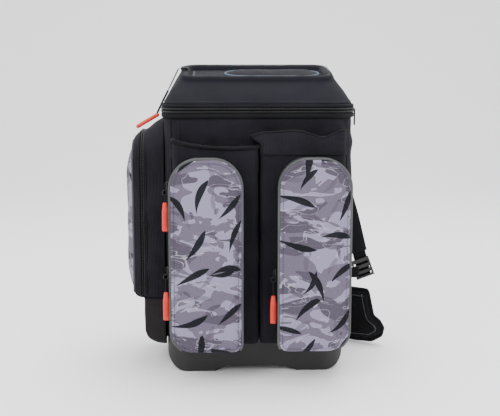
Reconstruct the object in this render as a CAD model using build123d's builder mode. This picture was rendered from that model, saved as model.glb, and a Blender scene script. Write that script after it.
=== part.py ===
"""Tackle backpack: a boxy fishing rucksack with a moulded base and a hinged, zipped lid.

Lengths are millimetres. X points right, Y points from the front pockets towards the wearer and
Z points up. Everything is drawn around the middle of the main body, and save() then moves each
part so that the origin lies on the floor under the middle of the whole backpack.
"""
import os
from math import atan2, cos, radians, sin

from build123d import *

os.makedirs("parts", exist_ok=True)

# Main body and its moulded tray
BODY_W, BODY_D, BODY_R = 300, 200, 40
WALL = 5
TRAY_W, TRAY_D, TRAY_H, TRAY_R = 288, 194, 40, 36
TRAY_SHIFT = -4
TRAY_FLOOR = 13
LIFT = 14  # the base stands this far below the zero that the heights are drawn from
TRAY_EDGE = 4
TRAY_CURVE = 32
ARCH_H, ARCH_FLAT, ARCH_W = 8.5, 92, 132
BODY_TOP = 396

# Mouth of the main compartment: rim, two rows of zip, lid
RIM_PROUD = 3
RIM_TOP = 404
ZIP_H = 3.7
HINGE_Z = 408.15
HINGE_Y = BODY_D / 2 + 1
BAND_BOTTOM, BAND_TOP = 412.3, 417
LID_MID_Z = 469
LID_TOP_W, LID_TOP_D, LID_TOP_R = 250, 140, 30
LID_TILT = 8
RECESS_W, RECESS_D, RECESS_DEEP = 218, 108, 8
LID_SKIN = 6

# Rod sleeves and the two pockets in front of them
SLEEVE_DEPTH = 30
SLEEVE_INNER, SLEEVE_OUTER = 2, 134
SLEEVE_TOP_LEFT, SLEEVE_TOP_RIGHT = 353, 367
SLEEVE_SKIN = 3
COLLAR_H, HEM_H = 27, 6
POCKET_INNER, POCKET_OUTER = 28, 138
POCKET_BOTTOM, POCKET_TOP = 38, 338
POCKET_BACK = BODY_D / 2 + SLEEVE_DEPTH + 0.3
POCKET_SPLIT = 150
POCKET_FRONT = 170
POCKET_SKIN = 2.5
PIPING = 2

# Side pocket on the left
SIDE_BACK = BODY_W / 2 + 0.3
SIDE_SPLIT = 185
SIDE_OUT = 214
SIDE_BOTTOM, SIDE_SEAM = 24, 103
SIDE_TOP_IN, SIDE_TOP_SPLIT, SIDE_TOP_OUT = 394, 370, 344
SIDE_HALF = 74
SIDE_SKIN = 3

# Back panel, straps, wings and haul loop
PAD_FACE = 102.6
STRAP_Y, STRAP_T, STRAP_W = 117, 10, 52
STRAP_TOP_X = 74
LOCK_RIGHT, LOCK_LEFT = 202, 172
WING_HINGE_X, WING_ROOT, WING_TIP = 118, 118.5, 251.5
WING_SWING, WING_OUT = 34, 232
WING_Y, WING_T = 105, 12
STOW_GAP = 16
WEB_W = 25
LOOP_Z, LOOP_HANG, LOOP_W, LOOP_BAND = 366, 34, 84, 10

# Zip pulls
TAG_L, TAG_W, TAG_T = 45, 10, 3
TAG_REST = 30
SLIDER_L, SLIDER_W, SLIDER_T = 12, 8, 5.5
WIRE = 0.9
RING_R = 3.8

GAP = 0.3
X_MID = (WING_OUT - SIDE_OUT) / 2
Y_MID = (WING_Y + STOW_GAP + WING_T - POCKET_FRONT) / 2

lid_plane = Plane(
    origin=(0, 0, LID_MID_Z),
    x_dir=(1, 0, 0),
    z_dir=(0, -sin(radians(LID_TILT)), cos(radians(LID_TILT))),
)


def save(part, label):
    """Move a finished part into the frame of the whole backpack and write its STEP file."""
    moved = part.moved(Location((-X_MID, -Y_MID, LIFT)))
    moved.label = label
    export_step(moved, f"parts/{label}.step")


def save_pair(part, label):
    """Write a part drawn on the right, and its mirror image on the left."""
    save(part, f"{label}_right")
    save(mirror(part, about=Plane.YZ), f"{label}_left")


def facing(y):
    """The upright plane at the given Y, drawn in X and Z, with its normal to the front."""
    return Plane.XZ.offset(-y)


def ring(width, depth, radius, inner_width, inner_depth, inner_radius, z, height, shift=0):
    """A flat rounded ring, as the bands around the mouth are. shift moves it along Y."""
    with BuildPart() as band:
        with BuildSketch(Plane.XY.offset(z)):
            with Locations((0, shift)):
                RectangleRounded(width, depth, radius)
            RectangleRounded(inner_width, inner_depth, inner_radius, mode=Mode.SUBTRACT)
        extrude(amount=height)
    return band.part


# ---------------------------------------------------------------- main body

def make_tray():
    """The moulded tray: two runners with an arch between them, and rolled-up outer corners."""
    half, tall = TRAY_W / 2, TRAY_H + LIFT
    flat = half - TRAY_CURVE
    bend = TRAY_CURVE * sin(radians(45))
    with BuildPart() as base_tray:
        with BuildSketch(facing(TRAY_D / 2)):
            with BuildLine():
                Polyline((-half, TRAY_CURVE), (-half, tall), (half, tall), (half, TRAY_CURVE))
                ThreePointArc(
                    (half, TRAY_CURVE), (flat + bend, TRAY_CURVE - bend), (flat, 0))
                Polyline((flat, 0), (ARCH_W / 2, 0), (ARCH_FLAT / 2, ARCH_H),
                         (-ARCH_FLAT / 2, ARCH_H), (-ARCH_W / 2, 0), (-flat, 0))
                ThreePointArc(
                    (-flat, 0), (-flat - bend, TRAY_CURVE - bend), (-half, TRAY_CURVE))
            make_face()
        extrude(amount=TRAY_D)
        with BuildSketch():
            RectangleRounded(TRAY_W, TRAY_D, TRAY_R)
        extrude(amount=tall, mode=Mode.INTERSECT)
        with BuildSketch(Plane.XY.offset(TRAY_FLOOR)):
            RectangleRounded(TRAY_W - 48, TRAY_D - 8, TRAY_R - 6)
        with BuildSketch(Plane.XY.offset(tall)):
            RectangleRounded(TRAY_W - 2 * TRAY_EDGE, TRAY_D - 2 * TRAY_EDGE, TRAY_R - TRAY_EDGE)
        loft(mode=Mode.SUBTRACT)
    return base_tray.part.moved(Location((TRAY_SHIFT, 0, -LIFT)))


def make_floor_board():
    """The stiff board that lies in the tray under the tackle boxes."""
    with BuildPart() as floor_board:
        with BuildSketch(Plane.XY.offset(TRAY_FLOOR - LIFT + GAP)):
            with Locations((TRAY_SHIFT, 0)):
                RectangleRounded(TRAY_W - 50, TRAY_D - 12, TRAY_R - 8)
        extrude(amount=3)
    return floor_board.part


def make_flat_wall(y):
    """A flat foam-backed panel between the rounded corners, with its outer face at y."""
    inward = -1 if y > 0 else 1
    with BuildPart() as flat_wall:
        with Locations((0, y + inward * WALL / 2, (TRAY_H + BODY_TOP) / 2)):
            Box(BODY_W - 2 * BODY_R, WALL, BODY_TOP - TRAY_H)
    return flat_wall.part


def make_side_wall():
    """The right side of the body, with both of its rounded corners."""
    cut = BODY_W / 2 - BODY_R + GAP / 2
    with BuildPart() as side_wall:
        with BuildSketch(Plane.XY.offset(TRAY_H)):
            RectangleRounded(BODY_W, BODY_D, BODY_R)
            RectangleRounded(
                BODY_W - 2 * WALL, BODY_D - 2 * WALL, BODY_R - WALL, mode=Mode.SUBTRACT)
            with Locations((cut + BODY_W / 2, 0)):
                Rectangle(BODY_W, BODY_D * 2, mode=Mode.INTERSECT)
        extrude(amount=BODY_TOP - TRAY_H)
    return side_wall.part


def make_mouth_ring(z, height, proud):
    """A band around the mouth. It stands proud at the front and sides, never at the hinge."""
    return ring(
        BODY_W + 2 * proud, BODY_D + proud, BODY_R + proud / 2,
        BODY_W - 2 * WALL, BODY_D - 2 * WALL, BODY_R - WALL, z, height, -proud / 2)


# ---------------------------------------------------------------- lid

def make_lid():
    """The moulded lid: sloping sides, a thick ridge and a recess in its tilted top."""
    with BuildPart() as lid_shell:
        with BuildSketch(Plane.XY.offset(BAND_TOP)):
            RectangleRounded(BODY_W + 2, BODY_D, BODY_R)
        with BuildSketch(lid_plane):
            RectangleRounded(LID_TOP_W, LID_TOP_D, LID_TOP_R)
        loft()
        with BuildSketch(Plane.XY.offset(BAND_TOP)):
            RectangleRounded(BODY_W - 14, BODY_D - 16, BODY_R - 8)
        with BuildSketch(lid_plane.offset(-RECESS_DEEP - LID_SKIN)):
            RectangleRounded(LID_TOP_W - 22, LID_TOP_D - 22, LID_TOP_R - 10)
        loft(mode=Mode.SUBTRACT)
        with BuildSketch(lid_plane):
            RectangleRounded(RECESS_W, RECESS_D, LID_TOP_R - 8)
        extrude(amount=-RECESS_DEEP, mode=Mode.SUBTRACT)
    return lid_shell.part


def make_lid_panel():
    """The long padded panel that lies in the recess of the lid."""
    with BuildPart() as lid_panel:
        with BuildSketch(lid_plane.offset(-RECESS_DEEP)):
            with Locations((26, 0)):
                RectangleRounded(150, 60, 29)
        extrude(amount=5)
    return lid_panel.part


def make_lid_piping():
    """The piping around the lid panel."""
    with BuildPart() as lid_piping:
        with BuildSketch(lid_plane.offset(-RECESS_DEEP)):
            with Locations((26, 0)):
                RectangleRounded(158, 68, 33)
                RectangleRounded(150.6, 60.6, 29.3, mode=Mode.SUBTRACT)
        extrude(amount=4)
    return lid_piping.part


# ---------------------------------------------------------------- rod sleeves

def make_sleeve(top, proud=0.0, bottom=TRAY_H + 1, floor=True):
    """A right-hand rod sleeve or its hem: a U around the rod, open at the top."""
    inner, outer = SLEEVE_INNER - proud, SLEEVE_OUTER + proud
    middle, width = (inner + outer) / 2, outer - inner
    skin = SLEEVE_SKIN + proud
    with BuildPart() as sleeve:
        with BuildSketch(Plane.XY.offset(bottom)):
            with Locations((middle, -(BODY_D + SLEEVE_DEPTH) / 2)):
                Rectangle(width, SLEEVE_DEPTH)
            with Locations((middle, -(BODY_D + SLEEVE_DEPTH - skin) / 2)):
                Rectangle(width - 2 * skin, SLEEVE_DEPTH - skin, mode=Mode.SUBTRACT)
        extrude(amount=top - bottom)
        if floor:
            with Locations((middle, -(BODY_D + SLEEVE_DEPTH) / 2, bottom + skin / 2)):
                Box(width, SLEEVE_DEPTH, skin)
    return sleeve.part


# ---------------------------------------------------------------- front pockets

def pocket_outline(inset):
    """The right pocket's arched face in the current plane, drawn inset all round."""
    middle = (POCKET_INNER + POCKET_OUTER) / 2
    width = POCKET_OUTER - POCKET_INNER - 2 * inset
    height = POCKET_TOP - POCKET_BOTTOM - 2 * inset
    with BuildSketch(Plane.XY) as outline:
        with Locations((middle, (POCKET_BOTTOM + POCKET_TOP) / 2)):
            Rectangle(width, height)
        fillet(outline.vertices().group_by(Axis.Y)[-1], radius=44 - inset)
        fillet(outline.vertices().group_by(Axis.Y)[0].sort_by(Axis.X)[-1], radius=34 - inset)
        fillet(outline.vertices().group_by(Axis.Y)[0].sort_by(Axis.X)[0], radius=14 - inset)
    return outline.sketch


def pocket_slab(inset, y, depth):
    """The pocket's outline, inset and raised from the plane y towards the front."""
    return extrude(facing(y) * pocket_outline(inset), amount=depth)


def make_pocket_shell():
    """The sewn-on half of a front pocket: a back panel with the gusset standing on it."""
    depth = POCKET_SPLIT - POCKET_BACK
    with BuildPart() as pocket_shell:
        add(pocket_slab(0, -POCKET_BACK, depth))
        add(pocket_slab(POCKET_SKIN, -POCKET_BACK - 2, depth), mode=Mode.SUBTRACT)
    return pocket_shell.part


def make_pocket_flap():
    """The hinged half of a front pocket: the printed panel and the front of the gusset."""
    depth = POCKET_FRONT - POCKET_SPLIT - GAP
    with BuildPart() as pocket_flap:
        add(pocket_slab(0, -POCKET_SPLIT - GAP, depth))
        chamfer(pocket_flap.faces().sort_by(Axis.Y)[0].edges(), length=4)
        add(pocket_slab(POCKET_SKIN + 2, -POCKET_SPLIT, depth - POCKET_SKIN), mode=Mode.SUBTRACT)
    return pocket_flap.part


def make_pocket_piping():
    """The piping around the printed panel, just outside the flap."""
    with BuildPart() as pocket_piping:
        add(pocket_slab(-PIPING, -POCKET_FRONT + 9, 4))
        add(pocket_slab(0, -POCKET_FRONT + 10, 6), mode=Mode.SUBTRACT)
    return pocket_piping.part


def make_pocket_zip():
    """The row of zip teeth around the gusset. None runs along the hinged bottom edge."""
    with BuildPart() as pocket_zip:
        add(pocket_slab(-1.4, -POCKET_SPLIT + 4, 3.8))
        add(pocket_slab(0, -POCKET_SPLIT + 5, 6), mode=Mode.SUBTRACT)
        with Locations(((POCKET_INNER + POCKET_OUTER) / 2, -POCKET_SPLIT, POCKET_BOTTOM)):
            Box(160, 20, 100, mode=Mode.SUBTRACT)
    return pocket_zip.part


# ---------------------------------------------------------------- side pocket

def side_outline(x, half, bottom, top, radius):
    """The side pocket's arched outline in the upright plane at -x, seen from outside."""
    with BuildSketch(Plane.YZ.offset(-x)) as outline:
        with Locations((0, (bottom + top) / 2)):
            Rectangle(2 * half, top - bottom)
        fillet(outline.vertices().group_by(Axis.Y)[-1], radius=radius)
    return outline.sketch


def make_side_shell():
    """The side pocket's gusset and back, with a top that slopes down and out."""
    reach = SIDE_SPLIT - SIDE_BACK
    slope = (SIDE_TOP_IN - SIDE_TOP_SPLIT) / reach
    skin = SIDE_SKIN
    with BuildPart() as side_shell:
        add(side_outline(SIDE_BACK, SIDE_HALF, SIDE_SEAM, SIDE_TOP_IN, 44))
        add(side_outline(SIDE_SPLIT, SIDE_HALF - 2, SIDE_SEAM, SIDE_TOP_SPLIT, 44))
        loft()
    with BuildPart() as hollow:
        add(side_outline(
            SIDE_BACK + 2, SIDE_HALF - skin, SIDE_SEAM - 1, SIDE_TOP_IN - skin - 2 * slope, 41))
        add(side_outline(
            SIDE_SPLIT + 1, SIDE_HALF - 2 - skin, SIDE_SEAM - 1, SIDE_TOP_SPLIT - skin - slope, 41))
        loft()
    return side_shell.part - hollow.part


def make_side_flap():
    """The domed printed panel of the side pocket, hinged along the seam."""
    skin = SIDE_SKIN
    split = SIDE_SPLIT + GAP
    with BuildPart() as side_flap:
        add(side_outline(split, SIDE_HALF - 2, SIDE_SEAM + GAP, SIDE_TOP_SPLIT, 44))
        add(side_outline(SIDE_OUT, SIDE_HALF - 16, SIDE_SEAM + 16, SIDE_TOP_OUT, 34))
        loft()
    with BuildPart() as hollow:
        add(side_outline(split - 1, SIDE_HALF - 2 - skin, SIDE_SEAM + skin, SIDE_TOP_SPLIT - skin, 41))
        add(side_outline(
            SIDE_OUT - skin, SIDE_HALF - 17 - skin, SIDE_SEAM + 17 + skin, SIDE_TOP_OUT - 1 - skin, 31))
        loft()
    return side_flap.part - hollow.part


def make_side_piping():
    """The piping around the side pocket's printed panel, where the dome turns outwards."""
    with BuildPart() as side_piping:
        edge = side_outline(SIDE_OUT + GAP / 2, SIDE_HALF - 16, SIDE_SEAM + 16, SIDE_TOP_OUT, 34)
        add(extrude(edge, amount=-2))
        middle = side_outline(SIDE_OUT, SIDE_HALF - 20, SIDE_SEAM + 20, SIDE_TOP_OUT - 4, 30)
        add(extrude(middle, amount=-6), mode=Mode.SUBTRACT)
    return side_piping.part


def make_side_boot():
    """The smooth lower part of the side pocket, open at the seam into the pocket above."""
    with BuildPart() as side_boot:
        with BuildSketch(facing(SIDE_HALF)) as profile:
            with Locations(
                    (-(SIDE_BACK + SIDE_SPLIT - 0.5) / 2, (SIDE_BOTTOM + SIDE_SEAM - GAP) / 2)):
                Rectangle(SIDE_SPLIT - 0.5 - SIDE_BACK, SIDE_SEAM - GAP - SIDE_BOTTOM)
            corner = profile.vertices().group_by(Axis.Y)[0].sort_by(Axis.X)[0]
            fillet(corner, radius=24)
        extrude(amount=2 * SIDE_HALF)
        top = side_boot.faces().sort_by(Axis.Z)[-1]
        offset(amount=-SIDE_SKIN, openings=top)
    return side_boot.part


def make_side_zip():
    """The row of zip teeth around the side pocket, between its two halves."""
    with BuildPart() as side_zip:
        teeth = side_outline(SIDE_SPLIT - 4, SIDE_HALF - 0.4, SIDE_SEAM, SIDE_TOP_SPLIT + 4.2, 44)
        add(extrude(teeth, amount=-3.5))
        middle = side_outline(
            SIDE_SPLIT - 7, SIDE_HALF - 1.6, SIDE_SEAM - 5, SIDE_TOP_SPLIT + 2.9, 44)
        add(extrude(middle, amount=-9), mode=Mode.SUBTRACT)
    return side_zip.part


# ---------------------------------------------------------------- back and carrying parts

def make_block(x0, x1, y0, y1, z0, z1, radius=0):
    """A pad or sheet between the given limits, with its upright edges along Y rounded."""
    with BuildPart() as block:
        with BuildSketch(facing(y1)) as face:
            with Locations(((x0 + x1) / 2, (z0 + z1) / 2)):
                Rectangle(x1 - x0, z1 - z0)
            if radius:
                fillet(face.vertices(), radius=radius)
        extrude(amount=y1 - y0)
    return block.part


def strap_x(lock_x, share):
    """How far to the side a strap is, a given share of the way out to its adjuster."""
    return STRAP_TOP_X + share * (lock_x - STRAP_TOP_X)


def make_strap(lock_x):
    """A right shoulder strap, splayed to the side so that it ends above lock_x."""
    padded = [(0, 384), (0.14, 345), (0.36, 305), (0.6, 262)]
    slim = [(0.56, 269), (0.77, 214), (0.94, 134)]
    with BuildPart() as shoulder_strap:
        with BuildSketch(facing(STRAP_Y + STRAP_T)):
            with BuildLine():
                Polyline([(strap_x(lock_x, share), z) for share, z in padded])
            trace(line_width=STRAP_W)
            with BuildLine():
                Polyline([(strap_x(lock_x, share), z) for share, z in slim])
            trace(line_width=30)
        extrude(amount=STRAP_T)
    return shoulder_strap.part


def make_ladder_lock(lock_x):
    """The plastic adjuster at the end of a right shoulder strap."""
    with BuildPart() as ladder_lock:
        with BuildSketch(facing(STRAP_Y + 8)):
            with Locations(Location((lock_x, 108), 20)):
                Rectangle(34, 36)
                with Locations((0, 9), (0, -2), (0, -12)):
                    Rectangle(27, 4.6, mode=Mode.SUBTRACT)
        extrude(amount=5)
    return ladder_lock.part


def make_lower_webbing(lock_x):
    """The webbing from the adjuster back to the lower side of the body."""
    with BuildPart() as lower_webbing:
        with BuildSketch(facing(STRAP_Y)):
            with BuildLine():
                Polyline((112, 104), (140, 104.5), (lock_x - 16, 101))
            trace(line_width=WEB_W - 6)
        extrude(amount=-1.8)
        with Locations((116, (PAD_FACE + STRAP_Y) / 2, 104)):
            Box(10, STRAP_Y - PAD_FACE, WEB_W - 6)
    return lower_webbing.part


def make_wing():
    """The right hip wing, standing out to the side with its thick rolled tip."""
    with BuildPart() as hip_wing:
        with BuildSketch(facing(WING_Y + WING_T)) as face:
            with BuildLine():
                Polyline((WING_ROOT, -10), (WING_ROOT, 84), (220, 84), (231, 38),
                         (WING_TIP - 8, 30), (WING_TIP, 18), (WING_TIP - 4, 2),
                         (228, -10), (195, -12), (WING_ROOT, -10))
            make_face()
        extrude(amount=WING_T)
    return hip_wing.part


def make_worn_wing():
    """The right hip wing, swung part of the way to the front."""
    hinge = Axis((WING_HINGE_X, WING_Y + WING_T / 2, 0), (0, 0, 1))
    return make_wing().rotate(hinge, -WING_SWING)


def make_stowed_wing():
    """The left hip wing, folded flat behind the lumbar pad."""
    hinge = Axis((-WING_HINGE_X, WING_Y + (STOW_GAP + WING_T) / 2, 0), (0, 0, 1))
    return mirror(make_wing(), about=Plane.YZ).rotate(hinge, 180)


def make_haul_loop():
    """The haul loop, hanging from the yoke."""
    with BuildPart() as haul_loop:
        with BuildSketch(facing(STRAP_Y)) as face:
            with Locations((0, LOOP_Z - LOOP_HANG / 2)):
                Rectangle(LOOP_W, LOOP_HANG)
                fillet(face.vertices().group_by(Axis.Y)[0], radius=16)
            with Locations((0, LOOP_Z - (LOOP_HANG - LOOP_BAND) / 2)):
                Rectangle(LOOP_W - 2 * LOOP_BAND, LOOP_HANG - LOOP_BAND, mode=Mode.SUBTRACT)
        extrude(amount=4)
    return haul_loop.part


# ---------------------------------------------------------------- zip pulls

def make_slider(x, y, z):
    """A zip slider, long along Z, centred on a point."""
    with BuildPart() as slider:
        with Locations((x, y, z)):
            Box(SLIDER_T, SLIDER_W, SLIDER_L)
        chamfer(slider.edges().filter_by(Axis.Y), length=1.2)
    return slider.part


def make_wire_pull(x, y, pin_z, tag_z):
    """The wire ring under a slider, and the short cord from it to the tag."""
    ring_z = pin_z - RING_R
    with BuildPart() as wire_pull:
        with Locations(Location((x, y, ring_z), (90, 0, 0))):
            Torus(RING_R, WIRE)
        with Locations((x, y, (ring_z - RING_R + tag_z) / 2)):
            Cylinder(1.3, ring_z - RING_R - tag_z)
    return wire_pull.part


def make_tag(x, y, top):
    """The soft tag that is gripped, broad side to the front, narrower at its neck."""
    low = top - TAG_L
    half, neck = TAG_W / 2, TAG_W / 2 - 1.6
    with BuildPart() as tag:
        with BuildSketch(facing(y + TAG_T / 2)) as face:
            with BuildLine():
                Polyline((x - neck, top), (x - half, top - 14), (x - half, low),
                         (x + half, low), (x + half, top - 14), (x + neck, top), (x - neck, top))
            make_face()
            fillet(face.vertices(), radius=2)
        extrude(amount=TAG_T)
    return tag.part


def save_hanging_pull(suffix, gusset_x, slider_z, tag_top):
    """Write the slider, wire and tag that hang beside a front pocket's left gusset."""
    x = gusset_x - SLIDER_T / 2
    pin_z = slider_z - SLIDER_L / 2 - 1.2
    y = -POCKET_SPLIT
    save(make_slider(x, y, slider_z), f"slider_{suffix}")
    save(make_wire_pull(gusset_x - TAG_W / 2, y, pin_z, tag_top), f"puller_{suffix}")
    save(make_tag(gusset_x - TAG_W / 2, y, tag_top), f"tag_{suffix}")


def drape_plane(along):
    """A plane lying on the lid's left slope, `along` mm down it from the ridge."""
    rise = LID_MID_Z - BAND_TOP
    run = (BODY_W + 2 - LID_TOP_W) / 2
    slope = atan2(rise, run)
    start_x, start_z = -LID_TOP_W / 2, LID_MID_Z
    origin = (start_x - along * cos(slope), 0, start_z - along * sin(slope))
    return Plane(origin=origin, x_dir=(-cos(slope), 0, -sin(slope)),
                 z_dir=(-sin(slope), 0, cos(slope)))


def save_lid_pull():
    """Write the lid pocket's slider and the long pull draped over the lid's left side."""
    with BuildPart() as lid_slider:
        with BuildSketch(lid_plane.offset(GAP)):
            with Locations((-LID_TOP_W / 2 + 7, 0)):
                RectangleRounded(SLIDER_L, SLIDER_W + 1, 2)
        extrude(amount=5)
    save(lid_slider.part, "lid_slider")

    with BuildPart() as lid_puller:
        with BuildSketch(drape_plane(0).offset(3)):
            with Locations((14, 0)):
                RectangleRounded(32, 8, 2)
        extrude(amount=2)
        with BuildSketch(drape_plane(0).offset(3.2)):
            with Locations((32.5, 0)):
                Circle(RING_R + WIRE)
                Circle(RING_R - WIRE, mode=Mode.SUBTRACT)
        extrude(amount=1.6)
    save(lid_puller.part, "lid_puller")

    cord_start = drape_plane(37.6).offset(4).origin
    cord_end = Vector(-BODY_W / 2 - 14, 0, SIDE_TOP_IN + 5)
    with BuildPart() as lid_cord:
        with BuildLine() as path:
            Line(cord_start, cord_end)
        with BuildSketch(Plane(origin=path.line @ 0, z_dir=path.line % 0)):
            Circle(1.7)
        sweep()
    save(lid_cord.part, "lid_cord")

    down = radians(TAG_REST)
    rest = Plane(origin=(cord_end.X - 0.6, 0, cord_end.Z - 3.4),
                 x_dir=(-cos(down), 0, -sin(down)), z_dir=(-sin(down), 0, cos(down)))
    half, neck = TAG_W / 2, TAG_W / 2 - 1.6
    with BuildPart() as lid_tag:
        with BuildSketch(rest.offset(-TAG_T / 2)) as face:
            with BuildLine():
                Polyline((0, -neck), (10, -half), (40, -half), (40, half), (10, half),
                         (0, neck), (0, -neck))
            make_face()
            fillet(face.vertices(), radius=1.8)
        extrude(amount=TAG_T)
    save(lid_tag.part, "lid_tag")


def save_main_pull():
    """Write the main zip's slider on the right side, with its plain hanging puller."""
    x = BODY_W / 2 + RIM_PROUD + 0.4
    with BuildPart() as main_slider:
        with Locations((x + SLIDER_T / 2, -30, HINGE_Z)):
            Box(SLIDER_T, SLIDER_L, SLIDER_W)
    save(main_slider.part, "main_slider")
    with BuildPart() as main_puller:
        with BuildSketch(Plane.YZ.offset(x + SLIDER_T + GAP)):
            with Locations((-30, HINGE_Z - 14)):
                RectangleRounded(7, 28, 2.5)
        extrude(amount=2)
    save(main_puller.part, "main_puller")


# ---------------------------------------------------------------- write every part

save(make_tray(), "base_tray")
save(make_floor_board(), "floor_board")
save(make_flat_wall(-BODY_D / 2), "front_wall")
save(make_flat_wall(BODY_D / 2), "back_wall")
save_pair(make_side_wall(), "side_wall")
save(make_mouth_ring(BODY_TOP, RIM_TOP - BODY_TOP, RIM_PROUD), "rim_band")
save(make_mouth_ring(RIM_TOP, ZIP_H, RIM_PROUD - 0.6), "main_zip_lower")
save(make_mouth_ring(HINGE_Z + GAP, ZIP_H, RIM_PROUD - 0.6), "main_zip_upper")
save(make_mouth_ring(BAND_BOTTOM, BAND_TOP - BAND_BOTTOM, RIM_PROUD), "lid_band")
save(make_lid(), "lid_shell")
save(make_lid_panel(), "lid_panel")
save(make_lid_piping(), "lid_piping")

save_pair(make_sleeve(SLEEVE_TOP_RIGHT - COLLAR_H), "rod_sleeve")
save(make_sleeve(SLEEVE_TOP_RIGHT, 0.2, SLEEVE_TOP_RIGHT - COLLAR_H + 0.1, False), "sleeve_collar")
hem_bottom = SLEEVE_TOP_RIGHT - COLLAR_H + 0.1
save(mirror(make_sleeve(SLEEVE_TOP_LEFT, 0.2, hem_bottom, False), about=Plane.YZ), "sleeve_hem")

save_pair(make_pocket_shell(), "pocket_shell")
save_pair(make_pocket_flap(), "pocket_flap")
save_pair(make_pocket_piping(), "pocket_piping")
save_pair(make_pocket_zip(), "pocket_zip")

save(make_side_shell(), "side_shell")
save(make_side_flap(), "side_flap")
save(make_side_piping(), "side_piping")
save(make_side_boot(), "side_boot")
save(make_side_zip(), "side_zip")

save(make_block(-118, 118, 100.3, 102.3, 46, 392, 12), "frame_sheet")
save_pair(make_block(16, 104, PAD_FACE, 116, 152, 322, 18), "back_pad")
save(make_block(-104, 104, PAD_FACE, 116.5, 46, 142, 20), "lumbar_pad")
save(make_block(-112, 112, PAD_FACE, 108, 352, 392, 8), "strap_yoke")
for maker, name in (
        (make_strap, "shoulder_strap"),
        (make_ladder_lock, "ladder_lock"),
        (make_lower_webbing, "lower_webbing")):
    save(maker(LOCK_RIGHT), f"{name}_right")
    save(mirror(maker(LOCK_LEFT), about=Plane.YZ), f"{name}_left")
save(make_worn_wing(), "hip_wing_right")
save(make_stowed_wing(), "hip_wing_left")
save(make_haul_loop(), "haul_loop")

pocket_gusset = -POCKET_OUTER - PIPING - GAP
valley_gusset = POCKET_INNER - PIPING - GAP
save_hanging_pull("upper", pocket_gusset, 297, 271)
save_hanging_pull("lower", pocket_gusset, 166, 131)
save_hanging_pull("valley", valley_gusset, 160, 124)
save_lid_pull()
save_main_pull()
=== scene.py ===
"""Looks of the tackle backpack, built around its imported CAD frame.

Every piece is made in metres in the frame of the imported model. X points right, Y towards the
wearer and Z up. A length written as 3 * MM is three millimetres.
"""

import logging
import math
from dataclasses import dataclass
from enum import Enum
from typing import Callable, Sequence

import bmesh
import bpy
import numpy as np
from mathutils import Matrix, Vector, noise


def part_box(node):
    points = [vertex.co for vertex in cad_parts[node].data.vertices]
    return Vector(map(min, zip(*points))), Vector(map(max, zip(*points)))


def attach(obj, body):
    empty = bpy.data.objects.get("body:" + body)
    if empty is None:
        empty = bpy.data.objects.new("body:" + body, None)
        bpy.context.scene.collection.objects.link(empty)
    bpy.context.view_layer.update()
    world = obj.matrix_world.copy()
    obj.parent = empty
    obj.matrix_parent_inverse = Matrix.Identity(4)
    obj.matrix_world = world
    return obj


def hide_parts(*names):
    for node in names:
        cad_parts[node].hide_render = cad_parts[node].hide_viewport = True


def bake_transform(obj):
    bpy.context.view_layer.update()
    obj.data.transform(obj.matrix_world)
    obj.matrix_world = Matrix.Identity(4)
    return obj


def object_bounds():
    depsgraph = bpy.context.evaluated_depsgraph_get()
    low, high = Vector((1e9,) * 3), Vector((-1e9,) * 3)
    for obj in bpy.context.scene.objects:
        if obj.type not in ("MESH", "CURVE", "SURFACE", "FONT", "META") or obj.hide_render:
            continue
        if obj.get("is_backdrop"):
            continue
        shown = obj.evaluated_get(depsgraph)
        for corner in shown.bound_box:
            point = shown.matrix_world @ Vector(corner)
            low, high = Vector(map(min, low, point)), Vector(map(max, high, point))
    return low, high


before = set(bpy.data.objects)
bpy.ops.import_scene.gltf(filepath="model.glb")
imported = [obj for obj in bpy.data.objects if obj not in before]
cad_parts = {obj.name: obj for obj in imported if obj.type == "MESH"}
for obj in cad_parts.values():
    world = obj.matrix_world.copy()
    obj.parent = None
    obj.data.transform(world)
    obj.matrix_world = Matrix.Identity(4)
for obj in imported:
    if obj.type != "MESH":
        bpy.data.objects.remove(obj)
CAD_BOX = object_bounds()
MM = 0.001
TURN = 2 * math.pi
log = logging.getLogger("tackle_backpack")

Array = np.ndarray
Colour = tuple[float, float, float]


# ------------------------------------------------------------------ shader language

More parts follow.
